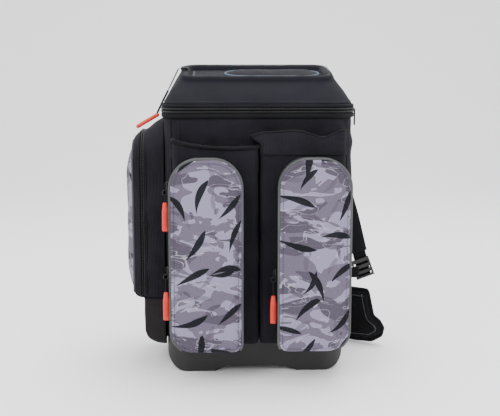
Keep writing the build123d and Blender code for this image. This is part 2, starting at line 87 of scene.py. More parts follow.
class Wire:
    """One output socket, with which shader maths is written as a Python expression."""

    def __init__(self, graph: "Graph", socket: bpy.types.NodeSocket) -> None:
        """Wraps a socket of the given graph."""
        self.graph = graph
        self.socket = socket

    def maths(self, operation: str, *values: "Wire | float") -> "Wire":
        """Adds a Math node whose first value is this wire, and returns its result."""
        return self.graph.wire(
            "ShaderNodeMath", {"operation": operation}, dict(enumerate((self, *values))))

    def __add__(self, other: "Wire | float") -> "Wire":
        """Adds."""
        return self.maths("ADD", other)

    def __radd__(self, other: float) -> "Wire":
        """Adds, reflected."""
        return self.maths("ADD", other)

    def __sub__(self, other: "Wire | float") -> "Wire":
        """Subtracts."""
        return self.maths("SUBTRACT", other)

    def __rsub__(self, other: float) -> "Wire":
        """Subtracts, reflected."""
        return self.graph.wire("ShaderNodeMath", {"operation": "SUBTRACT"}, {0: other, 1: self})

    def __mul__(self, other: "Wire | float") -> "Wire":
        """Multiplies."""
        return self.maths("MULTIPLY", other)

    def __rmul__(self, other: float) -> "Wire":
        """Multiplies, reflected."""
        return self.maths("MULTIPLY", other)

    def __lt__(self, other: "Wire | float") -> "Wire":
        """Is 1 where this wire is the smaller, and 0 elsewhere."""
        return self.maths("LESS_THAN", other)

    def sin(self) -> "Wire":
        """The sine of this wire."""
        return self.maths("SINE")

    def cos(self) -> "Wire":
        """The cosine of this wire."""
        return self.maths("COSINE")

    def abs(self) -> "Wire":
        """The size of this wire, without its sign."""
        return self.maths("ABSOLUTE")

    def saw(self, step: float) -> "Wire":
        """A zigzag between 0 and step."""
        return self.maths("PINGPONG", step)

    def smooth(self, low: float, high: float) -> "Wire":
        """Runs from 0 to 1 as this wire passes from low to high."""
        return self.graph.wire(
            "ShaderNodeMapRange", {"interpolation_type": "SMOOTHSTEP"},
            {"Value": self, "From Min": low, "From Max": high})


class Graph:
    """The node tree of one material."""

    def __init__(self, name: str) -> None:
        """Makes an empty material with a Principled shader.

        Args:
            name: The material's name.
        """
        self.material = bpy.data.materials.new(name)
        self.material.use_nodes = True
        self.tree = self.material.node_tree
        self.shader = self.tree.nodes["Principled BSDF"]

    def node(self, kind: str, settings: dict | None = None,
             inputs: dict | None = None) -> bpy.types.Node:
        """Adds any node.

        Args:
            kind: Blender's name of the node's type.
            settings: Properties set first. "stops" holds a colour ramp's (place, grey or colour).
            inputs: A value, a colour or a Wire for each socket's name or number.

        Returns:
            The new node.
        """
        made = self.tree.nodes.new(kind)
        for key, value in (settings or {}).items():
            if key == "stops":
                self.fill_ramp(made.color_ramp, value)
            else:
                setattr(made, key, value)
        for key, value in (inputs or {}).items():
            self.feed(made.inputs[key], value)
        return made

    def fill_ramp(self, ramp: bpy.types.ColorRamp, stops: Sequence) -> None:
        """Sets a ramp's stops.

        Args:
            ramp: The ramp.
            stops: A place and a colour for each stop.
        """
        while len(ramp.elements) < len(stops):
            ramp.elements.new(1.0)
        for element, (place, colour) in zip(ramp.elements, stops):
            element.position = place
            element.color = (*colour, 1.0)

    def feed(self, socket: bpy.types.NodeSocket, value: "Wire | float | Sequence") -> None:
        """Links a wire to a socket, or sets the socket's own value."""
        if isinstance(value, Wire):
            self.tree.links.new(value.socket, socket)
        elif isinstance(value, (tuple, list)) and socket.type == "RGBA":
            socket.default_value = (*value, 1.0)
        else:
            socket.default_value = value

    def wire(self, kind: str, settings: dict | None = None, inputs: dict | None = None,
             out: str | int = 0) -> Wire:
        """Adds any node and returns one of its outputs, named or numbered by `out`."""
        return Wire(self, self.node(kind, settings, inputs).outputs[out])

    def place(self) -> tuple[Wire, Wire, Wire]:
        """The X, Y and Z of the point being shaded, in metres."""
        point = self.wire("ShaderNodeTexCoord", out="Object")
        parts = self.node("ShaderNodeSeparateXYZ", inputs={0: point})
        return tuple(Wire(self, socket) for socket in parts.outputs)

    def vector(self, x: "Wire | float", y: "Wire | float", z: "Wire | float" = 0.0) -> Wire:
        """Joins three numbers into a vector."""
        return self.wire("ShaderNodeCombineXYZ", inputs={0: x, 1: y, 2: z})

    def cloud(self, scale: float, detail: float = 3.0, at: Wire | None = None,
              warp: float = 0.0) -> Wire:
        """Soft noise from 0 to 1.

        Args:
            scale: Lumps per metre.
            detail: How much finer noise is laid over the lumps.
            at: Where it is read. Left out, it is read at the point being shaded.
            warp: How far the lumps are twisted.

        Returns:
            The noise.
        """
        where = at or self.wire("ShaderNodeTexCoord", out="Object")
        return self.wire("ShaderNodeTexNoise", {}, {
            "Vector": where, "Scale": scale, "Detail": detail, "Distortion": warp})

    def mix(self, share: Wire, first: "Colour | Wire", second: "Colour | Wire") -> Wire:
        """Blends two colours: the first where share is 0 and the second where it is 1."""
        return self.wire("ShaderNodeMix", {"data_type": "RGBA"},
                         {0: share, 6: first, 7: second}, out=2)

    def bump(self, height: Wire, reach: float, strength: float = 1.0) -> None:
        """Raises the surface by a height from 0 to 1.

        Args:
            height: The height.
            reach: How many metres a height of 1 stands for.
            strength: How strongly it shows.
        """
        raised = self.wire("ShaderNodeBump", {}, {
            "Strength": strength, "Distance": reach, "Height": height}, out="Normal")
        self.set(Normal=raised)

    def set(self, **values: "Wire | float | Colour") -> None:
        """Sets sockets of the shader. An underscore stands for a space in a socket's name."""
        for name, value in values.items():
            self.feed(self.shader.inputs[name.replace("_", " ")], value)


# ------------------------------------------------------------------ finishes

class Yarn(Enum):
    """How a cloth is woven."""

    PLAIN = "plain"
    TWILL = "twill"
    RIB = "rib"
    CHEVRON = "chevron"
    MESH = "mesh"


@dataclass(frozen=True)
class Cloth:
    """A woven cloth: threads, a slow change of shade, and lint that catches the light."""

    name: str
    slot: str
    dark: Colour
    light: Colour
    yarn: Yarn = Yarn.PLAIN
    pitch: float = 1.3 * MM
    depth: float = 0.25 * MM
    rough: float = 0.82
    sheen: float = 0.02

    def threads(self, graph: Graph) -> Wire:
        """The height of the weave, from 0 to 1.

        Args:
            graph: The material's graph.

        Returns:
            The height.
        """
        x, y, z = graph.place()
        turns = TURN / self.pitch
        across = (x + y * 0.93) * turns
        along = (z + y * 0.31) * turns
        if self.yarn is Yarn.TWILL:
            return (across * 0.7 + along * 0.7).sin() * 0.5 + 0.5
        if self.yarn is Yarn.RIB:
            return across.sin() * 0.4 + along.sin() * 0.1 + 0.5
        if self.yarn is Yarn.CHEVRON:
            zigzag = (x + y).saw(3.0 * MM)
            return ((z + zigzag) * turns).sin() * 0.5 + 0.5
        if self.yarn is Yarn.MESH:
            return (across.sin() * along.sin()).smooth(-0.2, 0.5)
        return across.sin() * along.sin() * 0.5 + 0.5

    def build(self) -> bpy.types.Material:
        """Makes the material."""
        graph = Graph(self.name)
        threads = self.threads(graph)
        shade = graph.cloud(16.0, 4.0)
        lint = graph.cloud(900.0, 2.0)
        worn = (shade * 0.7 + threads * 0.35 + lint * 0.3).smooth(0.35, 1.0)
        graph.set(Base_Color=graph.mix(worn, self.dark, self.light),
                  Roughness=self.rough + (shade - 0.5) * 0.16,
                  Sheen_Weight=self.sheen, Sheen_Roughness=0.5, Specular_IOR_Level=0.1)
        graph.bump(threads * 0.7 + lint * 0.3, self.depth)
        return graph.material


@dataclass(frozen=True)
class Camo:
    """Printed canvas: soft grey patches with pale edges under dark tapered strokes."""

    name: str
    slot: str
    pale: Colour = (0.215, 0.195, 0.285)
    middle: Colour = (0.105, 0.088, 0.128)
    deep: Colour = (0.058, 0.047, 0.068)
    edge: Colour = (0.31, 0.295, 0.37)
    ink: Colour = (0.005, 0.006, 0.008)

    def strokes(self, graph: Graph, per_metre: float, half: float, shift: float) -> Wire:
        """Scattered strokes, each bent a little, thick at one end and tapered to the other.

        Args:
            graph: The material's graph.
            per_metre: Strokes in a metre.
            half: Half of a stroke's length.
            shift: Where the pattern starts, so that two layers differ.

        Returns:
            1 inside a stroke and 0 outside.
        """
        x, y, z = graph.place()
        at = graph.vector(x + y + shift, z + shift * 0.7)
        cells = graph.node("ShaderNodeTexVoronoi", {"voronoi_dimensions": "2D"},
                           {"Vector": at, "Scale": per_metre, "Randomness": 0.62})
        away = graph.wire("ShaderNodeVectorMath", {"operation": "SUBTRACT"},
                          {0: at, 1: Wire(graph, cells.outputs["Position"])})
        off = graph.node("ShaderNodeSeparateXYZ", inputs={0: away})
        luck = graph.node("ShaderNodeSeparateColor",
                          inputs={0: Wire(graph, cells.outputs["Color"])})
        dx, dy = Wire(graph, off.outputs[0]), Wire(graph, off.outputs[1])
        first, second = Wire(graph, luck.outputs[0]), Wire(graph, luck.outputs[1])
        angle = first * 2.6 - 0.35
        along = (angle.cos() * dx + angle.sin() * dy) * (1 / half)
        bend = (second - 0.5) * 0.55
        across = (angle.cos() * dy - angle.sin() * dx) * (1 / half) + bend * along * along
        girth = (1 - along * along) * (along * 0.38 + 0.62).maths("MAXIMUM", 0.0) * 0.27
        body = across.abs() < girth
        return body

    def build(self) -> bpy.types.Material:
        """Makes the material."""
        graph = Graph(self.name)
        x, y, z = graph.place()
        wide = graph.vector((x + y) * 0.55, z)
        lumps = graph.cloud(34.0, 2.5, wide, 1.4)
        drift = graph.cloud(24.0, 2.0, graph.vector((x + y) * 0.6 + 3.0, z * 1.2), 0.8)
        patch = lumps.smooth(0.485, 0.495)
        ground = graph.mix(patch, self.pale, self.middle)
        ground = graph.mix(drift.smooth(0.555, 0.565), ground, self.deep)
        rim = ((lumps - 0.482).abs() < 0.007) * 0.75
        ground = graph.mix(rim, ground, self.edge)
        ghost = self.strokes(graph, 21.0, 20 * MM, 0.31)
        ground = graph.mix(ghost * 0.5, ground, self.deep)
        ink = self.strokes(graph, 17.5, 28 * MM, 0.11) + self.strokes(graph, 9.0, 22 * MM, 0.57)
        turns = TURN / (1.1 * MM)
        threads = ((x + y) * turns).sin() * (z * turns).sin() * 0.5 + 0.5
        lint = graph.cloud(700.0, 2.0)
        speck = (threads * 0.5 + lint * 0.8).smooth(0.5, 1.1) * 0.22
        ground = graph.mix(speck, ground, self.edge)
        graph.set(Base_Color=graph.mix(ink.maths("MINIMUM", 0.97), ground, self.ink),
                  Roughness=0.8 + (lint - 0.5) * 0.1, Sheen_Weight=0.02,
                  Sheen_Roughness=0.5, Specular_IOR_Level=0.1)
        graph.bump(threads * 0.6 + lint * 0.5, 0.22 * MM)
        return graph.material


@dataclass(frozen=True)
class Moulded:
    """Moulded rubber or plastic: a fine grain, with paler dust or rubbed patches."""

    name: str
    slot: str
    colour: Colour
    rubbed: Colour
    rough: float = 0.55
    grain: float = 0.08 * MM
    grains: float = 900.0
    metallic: float = 0.0

    def build(self) -> bpy.types.Material:
        """Makes the material."""
        graph = Graph(self.name)
        grain = graph.cloud(self.grains, 3.0)
        patches = graph.cloud(28.0, 4.0, warp=0.4)
        rubbed = (patches * 0.8 + grain * 0.4).smooth(0.52, 0.9) * 0.7
        graph.set(Base_Color=graph.mix(rubbed, self.colour, self.rubbed),
                  Roughness=self.rough + (patches - 0.5) * 0.25, Metallic=self.metallic)
        graph.bump(grain * 0.7 + patches * 0.3, self.grain)
        return graph.material


Finish = Cloth | Camo | Moulded

BODY_CLOTH = Cloth("coated_weave", "body_fabric", (0.0037, 0.0037, 0.0056),
                   (0.0150, 0.0142, 0.0195))
GUSSET_CLOTH = Cloth("ribbed_gusset", "gusset_fabric", (0.0041, 0.0037, 0.0056),
                     (0.0173, 0.0158, 0.0210), Yarn.RIB, 2.2 * MM, 0.35 * MM)
LID_CLOTH = Cloth("lid_twill", "lid_eva", (0.0026, 0.0026, 0.0049), (0.0097, 0.0097, 0.0158),
                  Yarn.TWILL, 1.8 * MM, 0.3 * MM, 0.72)
BOOT_CLOTH = Cloth("boot_cloth", "boot_fabric", (0.0075, 0.0060, 0.0067), (0.0206, 0.0169, 0.0180),
                   Yarn.PLAIN, 0.9 * MM, 0.1 * MM, 0.6)
BINDING = Cloth("binding_tape", "binding", (0.0030, 0.0030, 0.0041), (0.0105, 0.0105, 0.0128),
                Yarn.RIB, 1.6 * MM, 0.3 * MM)
WEBBING = Cloth("webbing", "webbing", (0.0030, 0.0030, 0.0037), (0.0120, 0.0120, 0.0135),
                Yarn.CHEVRON, 2.0 * MM, 0.4 * MM)
ZIP_TAPE = Cloth("zip_tape", "zip_teeth", (0.0026, 0.0026, 0.0034), (0.0112, 0.0112, 0.0135),
                 Yarn.CHEVRON, 2.4 * MM, 0.4 * MM)
SPACER = Cloth("spacer_mesh", "mesh_foam", (0.0023, 0.0023, 0.0030), (0.0158, 0.0158, 0.0180),
               Yarn.MESH, 3.4 * MM, 0.9 * MM)
GREY_PIPING = Cloth("grey_piping", "piping_grey", (0.0456, 0.0499, 0.0499),
                    (0.0868, 0.0911, 0.0911), Yarn.RIB, 1.4 * MM, 0.2 * MM, 0.6)
BLUE_PIPING = Cloth("blue_piping", "piping_blue", (0.0465, 0.0620, 0.0930),
                    (0.0930, 0.1147, 0.1550), Yarn.RIB, 1.4 * MM, 0.2 * MM, 0.6)
THREAD = Cloth("stitching", "binding", (0.0150, 0.0150, 0.0180), (0.0450, 0.0450, 0.0500),
               Yarn.TWILL, 0.6 * MM, 0.1 * MM)
CORD_CLOTH = Cloth("braid", "cord", (0.0060, 0.0060, 0.0070), (0.0250, 0.0250, 0.0275),
                   Yarn.CHEVRON, 1.8 * MM, 0.5 * MM)
CAMO = Camo("camo_canvas", "camo_fabric")
BASE_RUBBER = Moulded("base_rubber", "rubber_base", (0.0038, 0.0029, 0.0036),
                      (0.0124, 0.0106, 0.0117), 0.6, 0.25 * MM, 500.0)
TOOTH_PLASTIC = Moulded("zip_coil", "zip_teeth", (0.0060, 0.0060, 0.0070),
                        (0.0250, 0.0250, 0.0275), 0.38)
BUCKLE_PLASTIC = Moulded("buckle_plastic", "buckle_plastic", (0.004, 0.004, 0.0045),
                         (0.014, 0.014, 0.015), 0.5)
BOARD_PLASTIC = Moulded("board_plastic", "board", (0.0075, 0.0075, 0.0080),
                        (0.0150, 0.0150, 0.0155))
DARK_METAL = Moulded("black_nickel", "dark_metal", (0.030, 0.030, 0.032), (0.10, 0.10, 0.105),
                     0.42, 0.02 * MM, 1500.0, 1.0)
TAG_RUBBER = Moulded("tag_rubber", "tag_rubber", (0.60, 0.022, 0.008), (0.68, 0.05, 0.025),
                     0.42, 0.05 * MM)


class Wardrobe:
    """Makes each finish once and puts it on pieces."""

    made: dict[str, bpy.types.Material] = {}

    @classmethod
    def dress(cls, piece: bpy.types.Object, finish: Finish) -> bpy.types.Object:
        """Gives a new piece its finish.

        Args:
            piece: The piece.
            finish: Its finish.

        Returns:
            The same piece.
        """
        if finish.name not in cls.made:
            cls.made[finish.name] = finish.build()
        material = cls.made[finish.name]
        if piece.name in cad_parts:
            for held in piece.material_slots:
                held.material = material
        else:
            piece.data.materials.clear()
            piece.data.materials.append(material)
        return piece


# ------------------------------------------------------------------ shapes

@dataclass(frozen=True)
class Box:
    """The box around one or more CAD nodes at rest, in metres."""

    low: Vector
    high: Vector

    @classmethod
    def of(cls, *nodes: str) -> "Box":
        """The box around the named nodes."""
        pairs = [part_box(node) for node in nodes]
        return cls(Vector(np.min([pair[0] for pair in pairs], axis=0)),
                   Vector(np.max([pair[1] for pair in pairs], axis=0)))

    @property
    def middle(self) -> Vector:
        """The box's centre."""
        return (self.low + self.high) / 2

    @property
    def size(self) -> Vector:
        """The box's width, depth and height."""
        return self.high - self.low


@dataclass(frozen=True)
class Outline:
    """A closed, evenly spaced flat curve that runs anticlockwise."""

    points: Array

    @classmethod
    def of(cls, corners: Sequence[tuple[float, float, float]], count: int = 240) -> "Outline":
        """Joins rounded corners with straight sides.

        Args:
            corners: Anticlockwise corners, each as two places and a radius.
            count: How many points the curve gets.

        Returns:
            The outline.
        """
        spots = [Vector(corner[:2]) for corner in corners]
        path = []
        for index, (_, _, radius) in enumerate(corners):
            here, before = spots[index], spots[index - 1]
            after = spots[(index + 1) % len(spots)]
            back, ahead = (before - here).normalized(), (after - here).normalized()
            half = back.angle(ahead) / 2
            reach = radius / math.tan(half)
            centre = here + (back + ahead).normalized() * (radius / math.sin(half))
            start, end = here + back * reach - centre, here + ahead * reach - centre
            for step in range(13):
                share = step / 12
                turned = start.lerp(end, share)
                if radius > 0:
                    turned = turned.normalized() * radius
                path.append(centre + turned)
        loop = np.array([*path, path[0]])
        run = np.concatenate([[0], np.cumsum(np.linalg.norm(np.diff(loop, axis=0), axis=1))])
        at = np.arange(count) / count * run[-1]
        return cls(np.stack([np.interp(at, run, loop[:, axis]) for axis in (0, 1)], axis=1))

    @classmethod
    def rectangle(cls, low: Sequence[float], high: Sequence[float], radius: float,
                  count: int = 240) -> "Outline":
        """A rectangle between two corners, with all four rounded."""
        return cls.of([(low[0], low[1], radius), (high[0], low[1], radius),
                       (high[0], high[1], radius), (low[0], high[1], radius)], count)

    def inset(self, amount: float) -> "Outline":
        """The curve moved inwards by an amount, or outwards by a negative one."""
        ahead = np.roll(self.points, -1, 0) - np.roll(self.points, 1, 0)
        ahead /= np.linalg.norm(ahead, axis=1)[:, None]
        return Outline(self.points + np.stack([-ahead[:, 1], ahead[:, 0]], axis=1) * amount)

    def toward_spine(self, share: float) -> "Outline":
        """The curve shrunk onto the line along its middle: all of the way where share is 1."""
        low, high = self.points.min(0), self.points.max(0)
        reach = (high - low).min() / 2
        spine = np.clip(self.points, low + reach, high - reach)
        return Outline(self.points * (1 - share) + spine * share)

    def lerp(self, other: "Outline", share: float) -> "Outline":
        """A curve part of the way to another with as many points."""
        return Outline(self.points * (1 - share) + other.points * share)


Placer = Callable[[Array, float], Array]


def facing_front(middle_y: float) -> Placer:
    """Stands an outline of X and Z upright: a height of h lies h in front of middle_y."""
    def put(flat: Array, height: float) -> Array:
        """Places flat points at a height."""
        return np.stack([flat[:, 0], np.full(len(flat), middle_y - height), flat[:, 1]], axis=1)
    return put


def facing_back(start_y: float) -> Placer:
    """Stands an outline of X and Z upright: a height of h lies h behind start_y."""
    def put(flat: Array, height: float) -> Array:
        """Places flat points at a height."""
        return np.stack([flat[:, 0], np.full(len(flat), start_y + height), flat[:, 1]], axis=1)
    return put


def facing_left(middle_x: float) -> Placer:
    """Stands an outline of Y and Z upright: a height of h lies h to the left of middle_x."""
    def put(flat: Array, height: float) -> Array:
        """Places flat points at a height."""
        return np.stack([np.full(len(flat), middle_x - height), flat[:, 0], flat[:, 1]], axis=1)
    return put


def lying(tilt: float = 0.0) -> Placer:
    """Lays an outline of X and Y flat at a height, tilted up towards the back."""
    def put(flat: Array, height: float) -> Array:
        """Places flat points at a height."""
        return np.stack([flat[:, 0], flat[:, 1] * math.cos(tilt) - height * math.sin(tilt),
                         flat[:, 1] * math.sin(tilt) + height * math.cos(tilt)], axis=1)
    return put


def piece_from(name: str, verts: Array, faces: list[tuple[int, ...]]) -> bpy.types.Object:
    """Makes a smooth mesh piece, with doubled points joined and its faces turned outwards.

    Args:
        name: The piece's name.
        verts: Points as rows.
        faces: Each face's point numbers.

    Returns:
        The piece.
    """
    mesh = bpy.data.meshes.new(name)
    mesh.from_pydata([tuple(vert) for vert in verts], [], faces)
    work = bmesh.new()
    work.from_mesh(mesh)
    bmesh.ops.remove_doubles(work, verts=work.verts, dist=0.00002)
    bmesh.ops.recalc_face_normals(work, faces=work.faces)
    work.to_mesh(mesh)
    work.free()
    mesh.shade_smooth()
    piece = bpy.data.objects.new(name, mesh)
    bpy.context.collection.objects.link(piece)
    return piece


def skin(name: str, rings: Sequence[Array], closed: bool = True, wrap: bool = False,
         caps: bool = False) -> bpy.types.Object:
    """Stretches a surface over rings of equally many points.

    Args:
        name: The piece's name.
        rings: The rings, in order.
        closed: Whether each ring is a closed loop.
        wrap: Whether the last ring joins the first.
        caps: Whether the first and last rings are filled.

    Returns:
        The piece.
    """
    count = len(rings[0])
    rows = len(rings)
    faces = []
    for row in range(rows if wrap else rows - 1):
        here, above = row * count, (row + 1) % rows * count
        for column in range(count if closed else count - 1):
            beside = (column + 1) % count
            faces.append((here + column, here + beside, above + beside, above + column))
    if caps:
        faces.append(tuple(range(count)))
        faces.append(tuple(range((rows - 1) * count, rows * count)))
    return piece_from(name, np.concatenate(rings), faces)


def sweep(name: str, path: Array, section: Array, across: Array, closed: bool = False,
          scale: Callable[[float], float] = lambda share: 1.0) -> bpy.types.Object:
    """Carries a section along a path.

    Args:
        name: The piece's name.
        path: Points as rows.
        section: The section's closed outline: sideways and up, as rows.
        across: The direction of the section's sideways axis, one for all points or one each.
        closed: Whether the path is a loop.
        scale: The section's size at a share of the path from 0 to 1.

    Returns:
        The piece.
    """
    if closed:
        ahead = np.roll(path, -1, 0) - np.roll(path, 1, 0)
    else:
        ahead = np.gradient(path, axis=0)
    ahead /= np.linalg.norm(ahead, axis=1)[:, None]
    side = np.broadcast_to(across, path.shape).astype(float)
    side = side - ahead * (side * ahead).sum(1)[:, None]
    side /= np.linalg.norm(side, axis=1)[:, None]
    up = np.cross(ahead, side)
    last = max(1, len(path) - 1)
    rings = [path[i] + (section[:, :1] * side[i] + section[:, 1:] * up[i]) * scale(i / last)
             for i in range(len(path))]
    return skin(name, rings, True, closed, not closed)


def circle(radius: float, count: int = 10, squash: float = 1.0) -> Array:
    """A round section, or an oval one where squash isn't 1."""
    angle = np.arange(count) / count * TURN
    return np.stack([np.cos(angle) * radius, np.sin(angle) * radius * squash], axis=1)


def flat_section(width: float, thick: float) -> Array:
    """The section of a strap with soft edges."""
    outline = Outline.rectangle((-width / 2, -thick / 2), (width / 2, thick / 2),
                                thick * 0.49, 28)
    return outline.points


def smooth_path(knots: Sequence[Sequence[float]], count: int = 60) -> Array:
    """A smooth curve through a few points, evenly spaced.

    Args:
        knots: The points.
        count: How many points the curve gets.

    Returns:
        The curve's points as rows.
    """
    knots = [Vector(knot) for knot in knots]
    ends = [knots[0] * 2 - knots[1], *knots, knots[-1] * 2 - knots[-2]]
    fine = []
    for one, two, three, four in zip(ends, ends[1:], ends[2:], ends[3:]):
        for step in range(16):
            t = step / 16
            fine.append(0.5 * (2 * two + (three - one) * t
                               + (2 * one - 5 * two + 4 * three - four) * t * t
                               + (3 * two - one - 3 * three + four) * t ** 3))
    fine.append(knots[-1])
    line = np.array(fine)
    run = np.concatenate([[0], np.cumsum(np.linalg.norm(np.diff(line, axis=0), axis=1))])
    at = np.linspace(0, run[-1], count)
    return np.stack([np.interp(at, run, line[:, axis]) for axis in range(3)], axis=1)


def row_of(name: str, path: Array, size: Sequence[float], pitch: float, across: Array,
           slant: float = 0.0) -> bpy.types.Object:
    """Sets small rounded bars along a path, as stitches or zip teeth are.

    Args:
        name: The piece's name.
        path: Points as rows.
        size: A bar's length along the path, width across it, and height.
        pitch: The distance from one bar to the next.
        across: The direction of the bars' width, one for all points or one each.
        slant: How far each bar is turned, in radians.

    Returns:
        The piece.
    """
    run = np.concatenate([[0], np.cumsum(np.linalg.norm(np.diff(path, axis=0), axis=1))])
    at = np.arange(pitch / 2, run[-1], pitch)
    spots = np.stack([np.interp(at, run, path[:, axis]) for axis in range(3)], axis=1)
    wide = np.broadcast_to(across, path.shape)
    sides = np.stack([np.interp(at, run, wide[:, axis]) for axis in range(3)], axis=1)
    lead = np.gradient(path, axis=0)
    leads = np.stack([np.interp(at, run, lead[:, axis]) for axis in range(3)], axis=1)
    length, width, height = (value / 2 for value in size)
    bar = [(-1, -0.6, 0), (-0.7, -1, 0), (0.7, -1, 0), (1, -0.6, 0), (1, 0.6, 0), (0.7, 1, 0),
           (-0.7, 1, 0), (-1, 0.6, 0), (-0.7, -0.5, 1), (0.7, -0.5, 1), (0.7, 0.5, 1),
           (-0.7, 0.5, 1)]
    sides_of_bar = [(0, 1, 8), (1, 2, 9, 8), (2, 3, 9), (3, 4, 10, 9), (4, 5, 10),
                    (5, 6, 11, 10), (6, 7, 11), (7, 0, 8, 11), (8, 9, 10, 11),
                    (7, 6, 5, 4, 3, 2, 1, 0)]
    verts, faces = [], []
    for spot, side, ahead in zip(spots, sides, leads):
        ahead = Vector(ahead).normalized()
        side = Vector(side)
        side = (side - ahead * side.dot(ahead)).normalized()
        up = ahead.cross(side)
        turn = slant
        along = ahead * math.cos(turn) + side * math.sin(turn)
        beside = side * math.cos(turn) - ahead * math.sin(turn)
        start = len(verts)
        for a, b, c in bar:
            verts.append(Vector(spot) + along * a * length + beside * b * width
                         + up * (c * height * 2 - height * 0.6))
        faces += [tuple(start + corner for corner in face) for face in sides_of_bar]
    return piece_from(name, np.array(verts), faces)


def crumple(piece: bpy.types.Object, reach: float, size: float, seed: float,
            where: Callable[[Vector], float] = lambda point: 1.0) -> bpy.types.Object:
    """Moves a piece's points in and out along their normals, as slack cloth lies.

    Args:
        piece: The piece.
        reach: The most that a point moves.
        size: The size of a fold.
        seed: A number that makes this piece's folds its own.
        where: How strongly each point moves, from 0 to 1.

    Returns:
        The same piece.
    """
    shift = Vector((seed * 7.3, seed * 3.1, seed * 5.7))
    moves = []
    for vert in piece.data.vertices:
        spot = vert.co / size + shift
        fold = noise.noise(spot) + 0.45 * noise.noise(spot * 2.3)
        moves.append(vert.normal * (fold * reach * where(vert.co)))
    for vert, move in zip(piece.data.vertices, moves):
        vert.co += move
    piece.data.update()
    return piece


def soften(piece: bpy.types.Object, levels: int = 1) -> bpy.types.Object:
    """Smooths a piece with a subdivision surface, and keeps the result."""
    modifier = piece.modifiers.new("smooth", "SUBSURF")
    modifier.levels = modifier.render_levels = levels
    return keep_modifiers(piece)


def keep_modifiers(piece: bpy.types.Object) -> bpy.types.Object:
    """Turns a piece's modifiers into mesh."""
    graph = bpy.context.evaluated_depsgraph_get()
    made = bpy.data.meshes.new_from_object(piece.evaluated_get(graph))
    piece.modifiers.clear()
    piece.data = made
    made.shade_smooth()
    return piece


def inflate(piece: bpy.types.Object, cap: float, voxel: float = 4.5 * MM,
            pressure: float = 4.0) -> bpy.types.Object:
    """Swells a closed piece as foam does under cloth, by cloth simulation.

    Args:
        piece: A closed piece, a little smaller than it will be.
        cap: The most that a point may move.
        voxel: The size of the cloth's grid.
        pressure: How hard it is blown up.

    Returns:
        The same piece.
    """
    modifier = piece.modifiers.new("grid", "REMESH")
    modifier.mode = "VOXEL"
    modifier.voxel_size = voxel
    keep_modifiers(piece)
    start = np.array([vert.co for vert in piece.data.vertices])
    modifier = piece.modifiers.new("cloth", "CLOTH")
    settings = modifier.settings
    settings.use_pressure = True
    settings.uniform_pressure_force = pressure
    settings.effector_weights.gravity = 0.0
    modifier.point_cache.frame_end = 20
    for step in range(1, 21):
        bpy.context.scene.frame_set(step)
    keep_modifiers(piece)
    moved = np.array([vert.co for vert in piece.data.vertices]) - start
    size = np.linalg.norm(moved, axis=1)[:, None]
    moved *= np.minimum(1.0, cap / np.maximum(size, 1e-9))
    for vert, spot in zip(piece.data.vertices, start + moved):
        vert.co = spot
    bpy.context.scene.frame_set(1)
    return soften(piece)


def pillow(name: str, outline: Outline, put: Placer, thick: float, crown: float = 0.0,
           edge: float = 2.0 * MM, back_crown: float = 0.0) -> bpy.types.Object:
    """A closed flat form with rounded edges and a crowned face.

    Args:
        name: The piece's name.
        outline: Its outline.
        put: Stands the outline in space. Height 0 is the back.
        thick: The height of the face's edge.
        crown: How much higher the middle is.
        edge: The radius of the edges.
        back_crown: How far the back's middle bulges the other way.

    Returns:
        The piece.
    """
    def face(height: float, bulge: float) -> list[Array]:
        """The rings of one face, from its edge to its middle."""
        rim = outline.inset(edge)
        return [put(rim.toward_spine(share).points,
                    height + bulge * (1 - (1 - share) ** 2.2))
                for share in (0.0, 0.06, 0.14, 0.26, 0.42, 0.6, 0.8, 1.0)]

    sides = []
    for angle in np.linspace(0.0, math.pi / 2, 4)[1:]:
        sides.append(put(outline.inset(edge * (1 - math.sin(angle))).points,
                         edge * (1 - math.cos(angle))))
    for angle in np.linspace(math.pi / 2, 0.0, 4)[:-1]:
        sides.append(put(outline.inset(edge * (1 - math.sin(angle))).points,
                         thick - edge * (1 - math.cos(angle))))
    back = list(reversed(face(0.0, -back_crown)))
    return skin(name, [*back, *sides, *face(thick, crown)])


# ------------------------------------------------------------------ sub-assemblies

class Assembly:
    """What every sub-assembly shares: dressing a piece, and hanging it on its body."""

    def add(self, piece: bpy.types.Object, finish: Finish, body: str,
            *stands_for: str) -> bpy.types.Object:
        """Finishes one piece.

        Args:
            piece: The piece.
            finish: Its finish.
            body: The CAD body it moves with.
            stands_for: The CAD nodes that it is shown in place of.

        Returns:
            The same piece.
        """
        Wardrobe.dress(piece, finish)
        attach(piece, body)
        if stands_for:
            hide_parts(*stands_for)
        log.info("%s rides on %s", piece.name, body)
        return piece


def run_without(points: Array, left_out: Array) -> Array:
    """The open part of a closed loop that remains when some of its points are left out."""
    start = next(i for i in range(len(points)) if left_out[i - 1] and not left_out[i])
    order = [(start + i) % len(points) for i in range(len(points))]
    return np.array([points[i] for i in order if not left_out[i]])


def in_plane(path: Array, normal: Sequence[float]) -> Array:
    """At each point of a path, the direction that lies in its plane and square to it."""
    return np.cross(np.gradient(path, axis=0), np.array(normal, float))


@dataclass
class Tray(Assembly):
    """The moulded base, with the board that lies in it."""

    lip: float = 1.6 * MM

    def build(self) -> None:
        """Dresses the CAD tray and board, and rolls a lip around the tray's top."""
        Wardrobe.dress(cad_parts["base_tray"], BASE_RUBBER)
        Wardrobe.dress(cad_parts["floor_board"], BOARD_PLASTIC)
        tray = Box.of("base_tray")
        outline = Outline.rectangle(tray.low, tray.high, 36 * MM, 200)
        path = lying()(outline.points, 0.0) + [0, 0, tray.high.z - self.lip]
        lip = sweep("tray_lip", path, circle(self.lip), (0, 0, 1), closed=True)
        self.add(lip, BASE_RUBBER, "pack")


